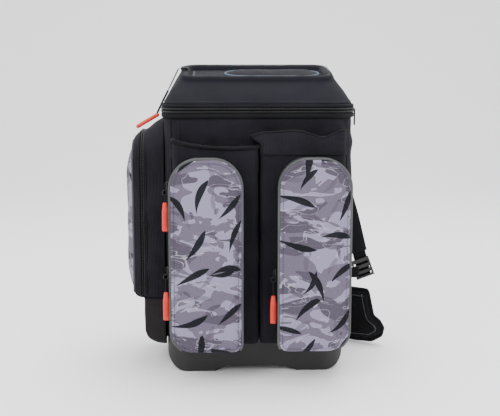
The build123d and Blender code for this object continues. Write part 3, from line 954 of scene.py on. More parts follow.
@dataclass
class BodyShell(Assembly):
    """The four foam-backed walls, sewn into one bag."""

    radius: float = 40 * MM
    wall: float = 5 * MM
    taper: float = 0.022
    bulge: float = 3.5 * MM
    rows: int = 72

    def ring(self, outline: Outline, share: float, box: Box) -> Array:
        """One level of the wall.

        Args:
            outline: The wall's outline at full size.
            share: Its height, from 0 at the tray to 1 at the mouth.
            box: The walls' box.

        Returns:
            The ring's points.
        """
        flat = outline.points.copy()
        middle = box.middle
        reach = (flat[:, 0] - middle.x) / (box.size.x / 2)
        flat[:, 0] -= (flat[:, 0] - middle.x) * self.taper * (1 - share) ** 2
        flat[:, 0] += np.clip(reach, 0, 1) ** 3 * self.bulge * math.sin(math.pi * share)
        return lying()(flat, 0.0) + [0, 0, box.low.z + share * box.size.z]

    def slack(self, point: Vector, box: Box) -> float:
        """How strongly the cloth creases: mostly under the mouth, and little where it is sewn."""
        up = (point.z - box.low.z) / box.size.z
        under_mouth = math.exp(-((up - 0.9) / 0.1) ** 2)
        free = (0.3 + 0.7 * under_mouth) * min(1.0, (1 - up) * 16) * min(1.0, up * 14)
        sewn = point.y > box.high.y - 12 * MM or point.x < box.low.x + 12 * MM
        return free * (0.12 if sewn else 1.0)

    def build(self) -> None:
        """Makes the bag, its corner seams and their stitching."""
        box = Box.of("side_wall_left", "side_wall_right")
        outer = Outline.rectangle(box.low, box.high, self.radius, 320)
        inner = outer.inset(self.wall)
        shares = np.linspace(0, 1, self.rows)
        outside = [self.ring(outer, share, box) for share in shares]
        inside = [self.ring(inner, share, box) for share in shares[::-1]]
        bag = skin("body_bag", [*outside, *inside], wrap=True)
        crumple(bag, 4.6 * MM, 38 * MM, 1.0, lambda point: self.slack(point, box))
        self.add(bag, BODY_CLOTH, "pack", "front_wall", "back_wall", "side_wall_left",
                 "side_wall_right")
        for name, x, y in (("front_left", -141, -90), ("front_right", 141, -90),
                           ("back_left", -141, 90), ("back_right", 141, 90)):
            spot = np.array([box.middle.x + x * MM, box.middle.y + y * MM])
            at = int(np.argmin(np.linalg.norm(outer.points - spot, axis=1)))
            path = np.array([ring[at] for ring in outside[1:-1]])
            self.add(sweep(f"seam_{name}", path, circle(1.3 * MM, 8), (1, 0, 0)),
                     BINDING, "pack")
            beside = np.array([ring[(at + 5) % 320] for ring in outside[1:-1]])
            self.add(row_of(f"stitches_{name}", beside, (2.6 * MM, 0.7 * MM, 0.6 * MM),
                            3.8 * MM, (spot[1] - box.middle.y, box.middle.x - spot[0], 0)),
                     THREAD, "pack")


@dataclass
class MouthBands(Assembly):
    """The bindings and the two rows of the main zip around the mouth."""

    radius: float = 40 * MM
    wall: float = 5 * MM

    def outline(self, proud: float) -> Outline:
        """The mouth's outline, proud at the front and sides but not at the hinge."""
        box = Box.of("side_wall_left", "side_wall_right")
        low = (box.low.x - proud, box.low.y - proud)
        high = (box.high.x + proud, box.high.y)
        return Outline.rectangle(low, high, self.radius + proud / 2, 320)

    def band(self, name: str, node: str, proud: float, roll: float, finish: Finish,
             body: str) -> None:
        """Makes one band of a rolled section.

        Args:
            name: The piece's name.
            node: The CAD node that it stands for.
            proud: How far the band's edge stands out.
            roll: How much further its middle stands out.
            finish: Its finish.
            body: Its body.
        """
        box = Box.of(node)
        inner, outer = self.outline(0.0).inset(self.wall), self.outline(proud)
        high, low = box.high.z, box.low.z
        rings = [lying()(inner.points, 0.0) + [0, 0, low]]
        for angle in np.linspace(-1.35, 1.35, 7):
            out = self.outline(proud - roll + 2 * roll * math.cos(angle))
            level = (low + high) / 2 + (high - low) / 2 * math.sin(angle)
            rings.append(lying()(out.points, 0.0) + [0, 0, level])
        rings.append(lying()(inner.points, 0.0) + [0, 0, high])
        band = skin(name, rings, wrap=True)
        self.add(band, finish, body, node)

    def teeth(self, name: str, node: str, body: str, slant: float) -> None:
        """Sets one row of zip teeth around the front and sides."""
        box = Box.of(node)
        points = lying()(self.outline(2.6 * MM).points, 0.0) + [0, 0, box.middle.z]
        path = run_without(points, points[:, 1] > box.high.y - 12 * MM)
        teeth = row_of(name, path, (2.3 * MM, 3.9 * MM, 2.6 * MM), 3.3 * MM, (0, 0, 1), slant)
        self.add(teeth, TOOTH_PLASTIC, body)

    def build(self) -> None:
        """Makes the bands from the body up to the lid."""
        self.band("rim_binding", "rim_band", 3.0 * MM, 1.0 * MM, BINDING, "pack")
        self.band("lower_tape", "main_zip_lower", 2.0 * MM, 0.3 * MM, ZIP_TAPE, "pack")
        self.band("upper_tape", "main_zip_upper", 2.0 * MM, 0.3 * MM, ZIP_TAPE, "lid")
        self.band("lid_binding", "lid_band", 3.0 * MM, 0.9 * MM, BINDING, "lid")
        self.teeth("lower_teeth", "main_zip_lower", "pack", 0.45)
        self.teeth("upper_teeth", "main_zip_upper", "lid", -0.45)


@dataclass
class Lid(Assembly):
    """The moulded lid with its thick ridge, its recess, and the padded panel in it."""

    tilt: float = math.radians(8)
    top_width: float = 250 * MM
    top_depth: float = 140 * MM
    top_radius: float = 30 * MM
    deep: float = 8 * MM

    def __post_init__(self) -> None:
        """Finds the middle of the tilted top."""
        box = Box.of("lid_shell")
        rise = self.top_depth / 2 * math.sin(self.tilt)
        self.origin = np.array([box.middle.x, box.middle.y, box.high.z - rise])

    def on_top(self, flat: Array, height: float) -> Array:
        """Places points drawn on the lid's top, with their middle at zero."""
        return lying(self.tilt)(flat, height) + self.origin

    def top(self, inset: float, shrink: float = 0.0) -> Outline:
        """The edge of the top, moved inwards and then shrunk towards its spine."""
        half = (self.top_width / 2, self.top_depth / 2)
        outline = Outline.rectangle((-half[0], -half[1]), half, self.top_radius, 320)
        return outline.inset(inset).toward_spine(shrink)

    def build(self) -> None:
        """Makes the shell, the panel, its piping and zip, and the seams."""
        self.build_shell()
        self.build_panel()

    def build_shell(self) -> None:
        """Lofts the outside over the ridge and into the recess, and the lining under it."""
        box = Box.of("lid_shell")
        base = Outline.rectangle(box.low, box.high, 40 * MM, 320)
        foot = lying()(base.points, 0.0) + [0, 0, box.low.z]
        shoulder = self.on_top(self.top(0.0).points, -7 * MM)
        centre = foot.mean(0)
        outside = []
        for share in np.linspace(0, 1, 16):
            ring = foot * (1 - share) + shoulder * share
            away = ring - centre
            away[:, 2] = 0
            away /= np.linalg.norm(away, axis=1)[:, None]
            outside.append(ring + away * (2.2 * MM * math.sin(math.pi * share)))
        ridge = [(0.6, -4.5), (1.8, -2.2), (3.8, -0.5), (6.5, 0.5), (9.5, 0.7), (12.3, -0.1),
                 (14.0, -1.4), (15.4, -3.2), (16.2, -5.2), (17.0, -6.8), (18.4, -7.8)]
        outside += [self.on_top(self.top(inset * MM).points, height * MM)
                    for inset, height in ridge]
        outside += [self.on_top(self.top(20 * MM, share).points, -self.deep)
                    for share in (0.0, 0.3, 0.7, 1.0)]
        lining = [lying()(base.inset(8 * MM).points, 0.0) + [0, 0, box.low.z]]
        lining += [self.on_top(self.top(12 * MM, share).points, -self.deep - 6 * MM)
                   for share in (0.0, 0.35, 0.7, 1.0)]
        shell = skin("lid_outer", [*lining[::-1], *outside])
        crumple(shell, 0.7 * MM, 38 * MM, 2.0)
        self.add(shell, LID_CLOTH, "lid", "lid_shell")
        seams = {
            "lid_foot": lying()(base.inset(1.6 * MM).points, 0.0) + [0, 0, box.low.z + 5 * MM],
            "lid_shoulder": self.on_top(self.top(3.4 * MM).points, 0.3 * MM)}
        for name, path in seams.items():
            stitches = row_of(f"{name}_stitches", path, (2.8 * MM, 0.8 * MM, 0.7 * MM),
                              4.2 * MM, (0, 0, 1))
            self.add(stitches, THREAD, "lid")

    def build_panel(self) -> None:
        """Makes the padded panel in the recess, its piping and the zip at its left end."""
        box = Box.of("lid_panel")
        shift = box.middle.x - self.origin[0]
        half = (box.size.x / 2, 30 * MM)
        outline = Outline.rectangle((shift - half[0], -half[1]), (shift + half[0], half[1]),
                                    29 * MM, 200)
        panel = pillow("lid_pad", outline, lambda flat, height: self.on_top(
            flat, height - self.deep), 4 * MM, 5 * MM)
        crumple(panel, 0.8 * MM, 24 * MM, 3.0)
        self.add(panel, LID_CLOTH, "lid", "lid_panel")
        path = self.on_top(outline.inset(-2.0 * MM).points, 2.6 * MM - self.deep)
        piping = sweep("lid_pad_piping", path, circle(2.1 * MM), (0, 0, 1), closed=True)
        self.add(piping, BLUE_PIPING, "lid", "lid_piping")
        left = -self.top_width / 2 + 22 * MM
        line = np.array([[left, y] for y in np.linspace(-44 * MM, 44 * MM, 60)])
        path = self.on_top(line, -self.deep + 0.4 * MM)
        self.add(row_of("lid_zip", path, (1.5 * MM, 4.5 * MM, 1.5 * MM), 2.4 * MM, (1, 0, 0),
                        0.3), TOOTH_PLASTIC, "lid")


class Side(Enum):
    """Which half of the backpack a piece is on, seen from the front pockets."""

    LEFT = -1
    RIGHT = 1

    @property
    def word(self) -> str:
        """The side's name as the CAD nodes have it."""
        return self.name.lower()


@dataclass
class RodSleeve(Assembly):
    """A tall open-topped sleeve for a rod butt, with its hem or collar."""

    side: Side
    skin_depth: float = 3 * MM

    def mouth(self, x: Array) -> Array:
        """The height of the sleeve's top edge above its lowest point, at each X."""
        box = Box.of(f"rod_sleeve_{self.side.word}")
        share = (x - box.low.x) / box.size.x
        if self.side is Side.LEFT:
            return 13 * MM * (1 - share) ** 3 + 3 * MM * share ** 3
        wave = np.interp(share, [0, 0.12, 0.36, 0.5, 0.73, 0.94, 1], [2, 9, 12, 10, 0, 12, 12])
        return wave * MM

    def section(self, box: Box, proud: float, depth: float) -> Outline:
        """The sleeve seen from above: a U, open at the back.

        Args:
            box: The sleeve's box.
            proud: How far it stands outside the sleeve.
            depth: The cloth's thickness.

        Returns:
            The outline.
        """
        left, right = box.low.x - proud, box.high.x + proud
        back, front = box.high.y, box.low.y - min(proud, 0.2 * MM)
        return Outline.of([
            (left, back, 0), (left, front, 9 * MM), (right, front, 9 * MM), (right, back, 0),
            (right - depth, back, 0), (right - depth, front + depth, 6 * MM),
            (left + depth, front + depth, 6 * MM), (left + depth, back, 0)], 300)

    def tube(self, name: str, outline: Outline, bottom: float, top: float,
             rows: int) -> bpy.types.Object:
        """Raises the U from bottom to the wavy mouth line, whose lowest point is top."""
        rings = []
        rise = self.mouth(outline.points[:, 0])
        for share in np.linspace(0, 1, rows):
            ring = lying()(outline.points, 0.0)
            ring[:, 2] = bottom * (1 - share) + (top + rise) * share
            rings.append(ring)
        return skin(name, rings, caps=True)

    def free(self, point: Vector, flap: Box) -> float:
        """How freely the cloth can crease: not where a pocket is sewn over it."""
        over = flap.low.x - 4 * MM < point.x < flap.high.x + 4 * MM
        if over and point.z < flap.high.z + 3 * MM:
            return 0.0
        return 1.0

    def build(self) -> None:
        """Makes the sleeve, its floor, and its mouth."""
        word = self.side.word
        box = Box.of(f"rod_sleeve_{word}")
        mouth = Box.of("sleeve_hem" if self.side is Side.LEFT else "sleeve_collar")
        outline = self.section(box, 0.0, self.skin_depth)
        tube = self.tube(f"sleeve_{word}", outline, box.low.z, mouth.high.z - 4 * MM, 60)
        flap = Box.of(f"pocket_flap_{word}")
        crumple(tube, 1.5 * MM, 34 * MM, 5.0 + self.side.value,
                lambda point: self.free(point, flap))
        self.add(tube, BODY_CLOTH, "pack", f"rod_sleeve_{word}")
        floor = Outline.rectangle((box.low.x + 3 * MM, box.low.y + 3 * MM),
                                  (box.high.x - 3 * MM, box.high.y), 2 * MM, 60)
        self.add(pillow(f"sleeve_floor_{word}", floor, lambda flat, height: lying()(
            flat, height) + [0, 0, box.low.z + 0.4 * MM], 2.6 * MM, edge=1 * MM),
            BODY_CLOTH, "pack")
        outer = run_without(outline.points, self.inner_half(outline, box))
        edge = lying()(outer, 0.0)
        if self.side is Side.LEFT:
            edge[:, 2] = mouth.high.z - 3 * MM + self.mouth(edge[:, 0])
            hem = sweep("rolled_hem", edge, circle(3.2 * MM, 12), (0, 0, 1))
            crumple(hem, 0.7 * MM, 6 * MM, 9.0)
            self.add(hem, BINDING, "pack", "sleeve_hem")
            return
        collar = self.tube("mouth_collar", self.section(box, 0.9 * MM, 4.4 * MM),
                           mouth.low.z, mouth.high.z, 14)
        crumple(collar, 1.2 * MM, 24 * MM, 9.5)
        self.flare(collar, box, mouth)
        self.add(collar, GUSSET_CLOTH, "pack", "sleeve_collar")
        for name, level, share in (("collar_top", mouth.high.z - 0.5 * MM, 1.0),
                                   ("collar_foot", mouth.low.z + 1 * MM, 0.0)):
            line = edge.copy()
            line[:, 2] = level + self.mouth(edge[:, 0]) * share
            bound = sweep(name, line, circle(1.5 * MM, 8), (0, 0, 1))
            self.flare(bound, box, mouth)
            self.add(bound, BINDING, "pack")

    def flare(self, piece: bpy.types.Object, box: Box, mouth: Box) -> None:
        """Leans the collar's inner corner out over the valley between the sleeves."""
        for vert in piece.data.vertices:
            up = min(1.0, max(0.0, (vert.co.z - mouth.low.z - 17 * MM) / (18 * MM)))
            near = min(1.0, max(0.0, 1 - (vert.co.x - box.low.x) / (34 * MM)))
            vert.co.x -= 24 * MM * up * near
            vert.co.y -= 2.5 * MM * up * near

    def inner_half(self, outline: Outline, box: Box) -> Array:
        """Which of the U's points lie on its inner side."""
        deep = self.skin_depth * 0.6
        points = outline.points
        return ((points[:, 0] > box.low.x + deep) & (points[:, 0] < box.high.x - deep)
                & (points[:, 1] > box.low.y + deep)) | (points[:, 1] > box.high.y - 0.5 * MM)


@dataclass
class FrontPocket(Assembly):
    """An arched front pocket: a sewn-on half, a hinged printed half, piping and zip."""

    side: Side
    arch: float = 44 * MM
    outer_corner: float = 34 * MM
    inner_corner: float = 14 * MM
    crown: float = 7 * MM

    def outline(self, box: Box) -> Outline:
        """The pocket's arched face."""
        corners = [self.inner_corner, self.outer_corner]
        if self.side is Side.LEFT:
            corners.reverse()
        return Outline.of([(box.low.x, box.low.z, corners[0]), (box.high.x, box.low.z, corners[1]),
                           (box.high.x, box.high.z, self.arch), (box.low.x, box.high.z, self.arch)],
                          320)

    def tray(self, name: str, outline: Outline, put: Placer, depth: float, floor: float,
             wall: float, bulge: float) -> bpy.types.Object:
        """A shallow tray of cloth: a back and a wall around it.

        Args:
            name: The piece's name.
            outline: Its outline.
            put: Stands it in space. Height 0 is the outside of the back.
            depth: The wall's height.
            floor: The back's thickness.
            wall: The wall's thickness.
            bulge: How far the wall swells.

        Returns:
            The piece.
        """
        spine = (1.0, 0.6, 0.25, 0.0)
        rings = [put(outline.inset(0.4 * MM).toward_spine(s).points, 0.0) for s in spine]
        for share in np.linspace(0.08, 1, 8):
            swell = bulge * math.sin(math.pi * share)
            rings.append(put(outline.inset(-swell).points, depth * share))
        rings.append(put(outline.inset(wall).points, depth))
        rings += [put(outline.inset(wall).toward_spine(s).points, floor) for s in spine[::-1]]
        return skin(name, rings)

    def build(self) -> None:
        """Makes the two halves and what is sewn around them."""
        word = self.side.word
        flap_body = f"{word}_flap"
        shell, flap = Box.of(f"pocket_shell_{word}"), Box.of(f"pocket_flap_{word}")
        outline = self.outline(flap)
        back = self.tray(f"pocket_back_{word}", outline, facing_front(shell.high.y),
                         shell.size.y, 2 * MM, 2.5 * MM, 0.25 * MM)
        self.add(back, GUSSET_CLOTH, "pack", f"pocket_shell_{word}")

        behind = facing_front(flap.high.y)
        depth = flap.size.y - 5 * MM
        rings = []
        for share in np.linspace(0, 1, 8):
            rings.append(behind(outline.inset(-0.3 * MM * math.sin(math.pi * share)).points,
                                depth * share))
        for share in np.linspace(1, 0, 8):
            rings.append(behind(outline.inset(3 * MM).points, depth * share))
        gusset = skin(f"pocket_gusset_{word}", rings, wrap=True)
        self.add(gusset, GUSSET_CLOTH, flap_body)

        panel = pillow(f"printed_panel_{word}", outline.inset(0.8 * MM),
                       facing_front(flap.low.y + 5.2 * MM), 4.5 * MM, self.crown, 2.2 * MM)
        soften(panel)
        crumple(panel, 1.0 * MM, 52 * MM, 11.0 + self.side.value)
        self.add(panel, CAMO, flap_body, f"pocket_flap_{word}")
        front = facing_front(flap.low.y + 3.2 * MM)
        loop = outline.inset(0.1 * MM).points
        run = run_without(loop, loop[:, 1] < flap.low.z + 4 * MM)
        piping = sweep(f"panel_piping_{word}", front(run, 0.0), circle(2.2 * MM, 10), (0, 1, 0))
        self.add(piping, GREY_PIPING, flap_body, f"pocket_piping_{word}")
        stitched = facing_front(flap.low.y)(outline.inset(6 * MM).points, 1.9 * MM)
        stitches = row_of(f"panel_stitches_{word}", np.vstack([stitched, stitched[:1]]),
                          (2.6 * MM, 0.7 * MM, 0.6 * MM), 3.9 * MM, (1, 0, 0.01))
        self.add(stitches, THREAD, flap_body)
        self.zip_rows(word, outline, shell, flap)

    def zip_rows(self, word: str, outline: Outline, shell: Box, flap: Box) -> None:
        """Sets the zip's two rows of teeth over the arch, and a ridge of tape on each side."""
        loop = outline.inset(-0.2 * MM).points
        low = loop[:, 1] < flap.low.z + 46 * MM
        run = run_without(loop, low)
        for name, y, body, node in (
                ("sewn", shell.low.y + 1.3 * MM, "pack", f"pocket_zip_{word}"),
                ("hinged", flap.high.y - 1.3 * MM, f"{word}_flap", "")):
            path = facing_front(y)(run, 0.0)
            teeth = row_of(f"{name}_teeth_{word}", path, (1.5 * MM, 2.4 * MM, 1.6 * MM),
                           2.4 * MM, (0, -1, 0), 0.4)
            self.add(teeth, TOOTH_PLASTIC, body, *([node] if node else []))
            ridge_y = y + (3.2 * MM if name == "sewn" else -3.2 * MM)
            ridge = sweep(f"{name}_tape_{word}", facing_front(ridge_y)(run, 0.0),
                          circle(1.1 * MM, 8, 0.5), (0, 1, 0))
            self.add(ridge, ZIP_TAPE, body)


@dataclass
class SidePocket(Assembly):
    """The domed pocket on the left side, with the smooth boot under it."""

    arch: float = 44 * MM
    crown: float = 13 * MM

    def outline(self, half: float, bottom: float, top: float, radius: float) -> Outline:
        """An arch in Y and Z."""
        middle = Box.of("side_shell").middle.y
        return Outline.of([(middle - half, bottom, 2 * MM), (middle + half, bottom, 2 * MM),
                           (middle + half, top, radius), (middle - half, top, radius)], 280)

    def build(self) -> None:
        """Makes the gusset, the dome, its printed panel, the zip and the boot."""
        shell, flap, boot = Box.of("side_shell"), Box.of("side_flap"), Box.of("side_boot")
        half = shell.size.y / 2
        inner = self.outline(half, shell.low.z, shell.high.z, self.arch)
        split = self.outline(half - 2 * MM, shell.low.z, flap.high.z, self.arch)
        self.build_gusset(shell, inner, split)
        self.build_dome(flap, split)
        self.build_zip(shell, flap, split)
        self.build_boot(boot)

    def build_gusset(self, shell: Box, inner: Outline, split: Outline) -> None:
        """Makes the sewn-on half, whose top slopes down and out."""
        spine = (1.0, 0.6, 0.25, 0.0)
        rings = [facing_left(shell.high.x)(inner.toward_spine(s).points, 0.0) for s in spine]
        for share in np.linspace(0.05, 1, 14):
            edge = inner.lerp(split, share).inset(-1.2 * MM * math.sin(math.pi * share))
            rings.append(facing_left(shell.high.x)(edge.points, shell.size.x * share))
        for share in np.linspace(1, 0.08, 8):
            edge = inner.lerp(split, share).inset(3 * MM)
            rings.append(facing_left(shell.high.x)(edge.points, shell.size.x * share))
        rings += [facing_left(shell.high.x)(inner.inset(3 * MM).toward_spine(s).points, 2 * MM)
                  for s in spine[::-1]]
        gusset = skin("side_gusset", rings)
        crumple(gusset, 1.6 * MM, 30 * MM, 21.0, lambda point: min(
            1.0, max(0.0, (shell.high.x - point.x) / (8 * MM)),
            max(0.0, (point.x - shell.low.x) / (8 * MM))))
        self.add(gusset, GUSSET_CLOTH, "pack", "side_shell")

    def build_dome(self, flap: Box, split: Outline) -> None:
        """Makes the hinged dome, with a printed panel inside its piping."""
        panel = Box.of("side_piping")
        rim = self.outline(panel.size.y / 2, panel.low.z, panel.high.z, 34 * MM)
        rim = rim.lerp(split, 0.45)
        put = facing_left(flap.high.x)
        deep = flap.high.x - panel.high.x - self.crown
        rings = []
        for share in np.linspace(0, 1, 14):
            edge = split.lerp(rim, 1 - math.cos(share * math.pi / 2))
            rings.append(put(edge.points, deep * math.sin(share * math.pi / 2)))
        rings.append(put(rim.inset(3 * MM).points, deep))
        for share in np.linspace(1, 0, 8):
            edge = split.lerp(rim, share ** 1.6).inset(3.2 * MM)
            rings.append(put(edge.points, (deep - 2.5 * MM) * share))
        dome = skin("side_dome", rings, wrap=True)
        self.add(dome, GUSSET_CLOTH, "side_panel")
        printed = pillow("printed_side_panel", rim.inset(0.6 * MM),
                         facing_left(flap.high.x - deep + 3.4 * MM), 3.4 * MM,
                         self.crown + 1.6 * MM)
        soften(printed)
        crumple(printed, 1.2 * MM, 42 * MM, 23.0)
        self.add(printed, CAMO, "side_panel", "side_flap")
        piping = sweep("side_panel_piping", put(rim.points, deep),
                       circle(2.1 * MM), (1, 0, 0), closed=True)
        self.add(piping, GREY_PIPING, "side_panel", "side_piping")

    def build_zip(self, shell: Box, flap: Box, split: Outline) -> None:
        """Sets the zip between the halves, and a ridge of tape on each side of it."""
        loop = split.inset(-0.3 * MM).points
        run = run_without(loop, loop[:, 1] < shell.low.z + 4 * MM)
        for name, x, body, node in (("sewn", shell.low.x + 1.4 * MM, "pack", "side_zip"),
                                    ("hinged", flap.high.x - 1.4 * MM, "side_panel", "")):
            teeth = row_of(f"{name}_side_teeth", facing_left(x)(run, 0.0),
                           (1.6 * MM, 2.6 * MM, 1.7 * MM), 2.5 * MM, (1, 0, 0), 0.4)
            self.add(teeth, TOOTH_PLASTIC, body, *([node] if node else []))
            out = 4 * MM if name == "sewn" else -3 * MM
            ridge = sweep(f"{name}_side_tape", facing_left(x + out)(run, 0.0),
                          circle(1.5 * MM, 8), (1, 0, 0))
            self.add(ridge, ZIP_TAPE, body)

    def build_boot(self, boot: Box) -> None:
        """Makes the smooth lower part, and the seam above it."""
        outline = Outline.of([
            (boot.low.y, boot.low.z, 14 * MM), (boot.high.y, boot.low.z, 14 * MM),
            (boot.high.y, boot.high.z, 3 * MM), (boot.low.y, boot.high.z, 3 * MM)], 240)
        put = facing_left(boot.high.x)
        curl = 26 * MM
        rings = [put(outline.toward_spine(s).points, 0.0) for s in (1.0, 0.5, 0.0)]
        for share in np.linspace(0.1, 1, 12):
            low = np.clip((boot.low.z + curl - outline.points[:, 1]) / curl, 0, 1)
            edge = outline.points.copy()
            edge[:, 1] += low * curl * (1 - math.sqrt(max(0.0, 1 - share ** 2.4))) * 0.8
            rings.append(put(edge, boot.size.x * share))
        last = Outline(rings[-1][:, 1:])
        rings += [put(last.toward_spine(s).points, boot.size.x + 1.5 * MM * (1 - (1 - s) ** 2))
                  for s in (0.08, 0.3, 0.6, 1.0)]
        made = skin("side_boot_cover", rings)
        crumple(made, 1.3 * MM, 34 * MM, 27.0, lambda point: min(
            1.0, max(0.0, (boot.high.z - point.z) / (10 * MM))))
        self.add(made, BOOT_CLOTH, "pack", "side_boot")
        reach = boot.low.x - 0.2 * MM
        knots = [(boot.high.x, boot.low.y), (reach + 3 * MM, boot.low.y),
                 (reach, boot.low.y + 3 * MM),
                 (reach, boot.high.y - 3 * MM), (reach + 3 * MM, boot.high.y),
                 (boot.high.x, boot.high.y)]
        line = [np.linspace((*a, boot.high.z), (*b, boot.high.z), 20)
                for a, b in zip(knots, knots[1:])]
        seam = sweep("side_seam", np.concatenate([part[:-1] for part in line]),
                     circle(1.0 * MM, 8), (0, 0, 1))
        self.add(seam, BINDING, "pack")


@dataclass
class BackPanel(Assembly):
    """The wearer's side: the stiff sheet, the pads on it and the yoke for the straps."""

    cap: float = 2.6 * MM

    def pad(self, name: str, node: str, radius: float, channels: int) -> None:
        """Makes one foam pad, swollen under spacer mesh, with its bound edge.

        Args:
            name: The piece's name.
            node: The CAD node that it stands for.
            radius: Its corner radius.
            channels: How many sewn lines cross it.
        """
        box = Box.of(node)
        low, high = (box.low.x, box.low.z), (box.high.x, box.high.z)
        outline = Outline.rectangle(low, high, radius, 160)
        pad = pillow(name, outline.inset(0.8 * MM), facing_back(box.low.y + 1.0 * MM),
                     box.size.y - 5 * MM, 1 * MM, 4 * MM)
        inflate(pad, self.cap)
        for vert in pad.data.vertices:
            vert.co.y = max(vert.co.y, box.low.y)
            for line in range(channels):
                level = box.low.z + box.size.z * (line + 1) / (channels + 1)
                dip = math.exp(-((vert.co.z - level) / (3.2 * MM)) ** 2)
                if vert.co.y > box.middle.y:
                    vert.co.y -= 3.4 * MM * dip
        self.add(pad, SPACER, "pack", node)
        path = facing_back(box.low.y + 1.8 * MM)(outline.inset(1.4 * MM).points, 0.0)
        self.add(sweep(f"{name}_binding", path, circle(2.3 * MM, 8), (0, 1, 0), closed=True),
                 BINDING, "pack")

    def build(self) -> None:
        """Makes the pads, the yoke and its stitching."""
        Wardrobe.dress(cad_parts["frame_sheet"], BOARD_PLASTIC)
        self.pad("back_cushion_left", "back_pad_left", 18 * MM, 3)
        self.pad("back_cushion_right", "back_pad_right", 18 * MM, 3)
        self.pad("lumbar_cushion", "lumbar_pad", 20 * MM, 1)
        box = Box.of("strap_yoke")
        outline = Outline.rectangle((box.low.x, box.low.z), (box.high.x, box.high.z), 8 * MM, 200)
        yoke = pillow("yoke", outline, facing_back(box.low.y), box.size.y - 1 * MM, 1 * MM,
                      1.8 * MM)
        self.add(yoke, BODY_CLOTH, "pack", "strap_yoke")
        path = facing_back(box.high.y - 0.2 * MM)(outline.inset(5 * MM).points, 0.0)
        self.add(row_of("yoke_stitches", path, (2.8 * MM, 0.8 * MM, 0.7 * MM), 4 * MM,
                        (1, 0, 0.01)), THREAD, "pack")


@dataclass
class ShoulderStrap(Assembly):
    """A padded strap with its webbing, adjuster and lower webbing."""

    side: Side
    top_x: float = 74 * MM

    def build(self) -> None:
        """Makes the strap from the yoke down to its adjuster."""
        word, sign = self.side.word, self.side.value
        body = f"{word}_strap"
        strap, lock = Box.of(f"shoulder_strap_{word}"), Box.of(f"ladder_lock_{word}")
        middle = Box.of("strap_yoke").middle.x
        reach = abs(lock.middle.x - middle) - self.top_x
        level = strap.middle.y
        zero = Box.of("strap_yoke").low.z - 352 * MM

        def at(share: float, z: float, back: float = 0.0) -> tuple[float, float, float]:
            """A point a share of the way out, at a height."""
            return (middle + sign * (self.top_x + share * reach), level + back, zero + z * MM)

        knots = [at(0, 388), at(0.14, 345), at(0.36, 305), at(0.58, 266), at(0.77, 214),
                 at(0.93, 138)]
        path = smooth_path(knots, 90)
        pad = sweep(f"strap_pad_{word}", path, flat_section(50 * MM, 8.4 * MM),
                    np.array([1.0, 0, 0]), scale=self.narrowing)
        crumple(pad, 0.8 * MM, 24 * MM, 31.0 + sign)
        self.add(pad, SPACER, body, f"shoulder_strap_{word}")
        across = in_plane(path, (0, 1, 0))
        across /= np.linalg.norm(across, axis=1)[:, None]
        width = np.array([self.narrowing(i / 89) for i in range(90)])[:, None] * 25 * MM
        for name, edge in (("inner", -1), ("outer", 1)):
            line = path + across * width * edge
            self.add(sweep(f"strap_{name}_binding_{word}", line, circle(2.0 * MM, 8),
                           (0, 1, 0)), BINDING, body)
        strip = path[:88] + [0, 4.6 * MM, 0]
        self.add(sweep(f"strap_webbing_{word}", strip, flat_section(22 * MM, 1.6 * MM),
                       across[:88]), WEBBING, body)
        tail = smooth_path([at(0.87, 168, 3 * MM), at(0.95, 136, 3.6 * MM), at(1.0, 113, 4.4 * MM),
                            at(1.04, 92, 4.4 * MM)], 24)
        self.add(sweep(f"strap_end_{word}", tail, flat_section(24 * MM, 1.6 * MM),
                       np.array([1.0, 0, 0.4 * sign])), WEBBING, body)
        Wardrobe.dress(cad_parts[f"ladder_lock_{word}"], BUCKLE_PLASTIC)
        self.lower_webbing(word, sign, body, lock)

    def narrowing(self, share: float) -> float:
        """The strap's size at a share of its length: wide at the top and slim at the end."""
        slim = 1 / (1 + math.exp(-(share - 0.58) * 16))
        return 1 - 0.4 * slim

    def lower_webbing(self, word: str, sign: int, body: str, lock: Box) -> None:
        """Makes the webbing that runs back from the adjuster to the body."""
        box = Box.of(f"lower_webbing_{word}")
        level = box.high.y - 1 * MM
        inner = box.low.x if sign > 0 else box.high.x
        outer = box.high.x if sign > 0 else box.low.x
        z = (box.low.z + 10 * MM)
        path = smooth_path([(inner + sign * 2 * MM, level, z), (inner + sign * 30 * MM, level, z),
                            (outer - sign * 6 * MM, level, z - 1 * MM),
                            (outer + sign * 8 * MM, level + 2 * MM, z - 1 * MM)], 40)
        strip = sweep(f"lower_strap_{word}", path, flat_section(19 * MM, 1.7 * MM),
                      np.array([0, 0, 1.0]))
        Wardrobe.dress(strip, WEBBING)
        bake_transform(strip)
        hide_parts(f"lower_webbing_{word}")
        start = min(inner, inner + sign * 12 * MM)
        tab = Outline.rectangle((start, box.low.z), (start + 12 * MM, box.low.z + 20 * MM),
                                2 * MM, 40)
        depth = box.size.y - 2 * MM
        self.add(pillow(f"strap_anchor_{word}", tab, facing_back(box.low.y), depth, edge=1 * MM),
                 WEBBING, "pack")
        log.info("%s bends between pack and %s", strip.name, body)


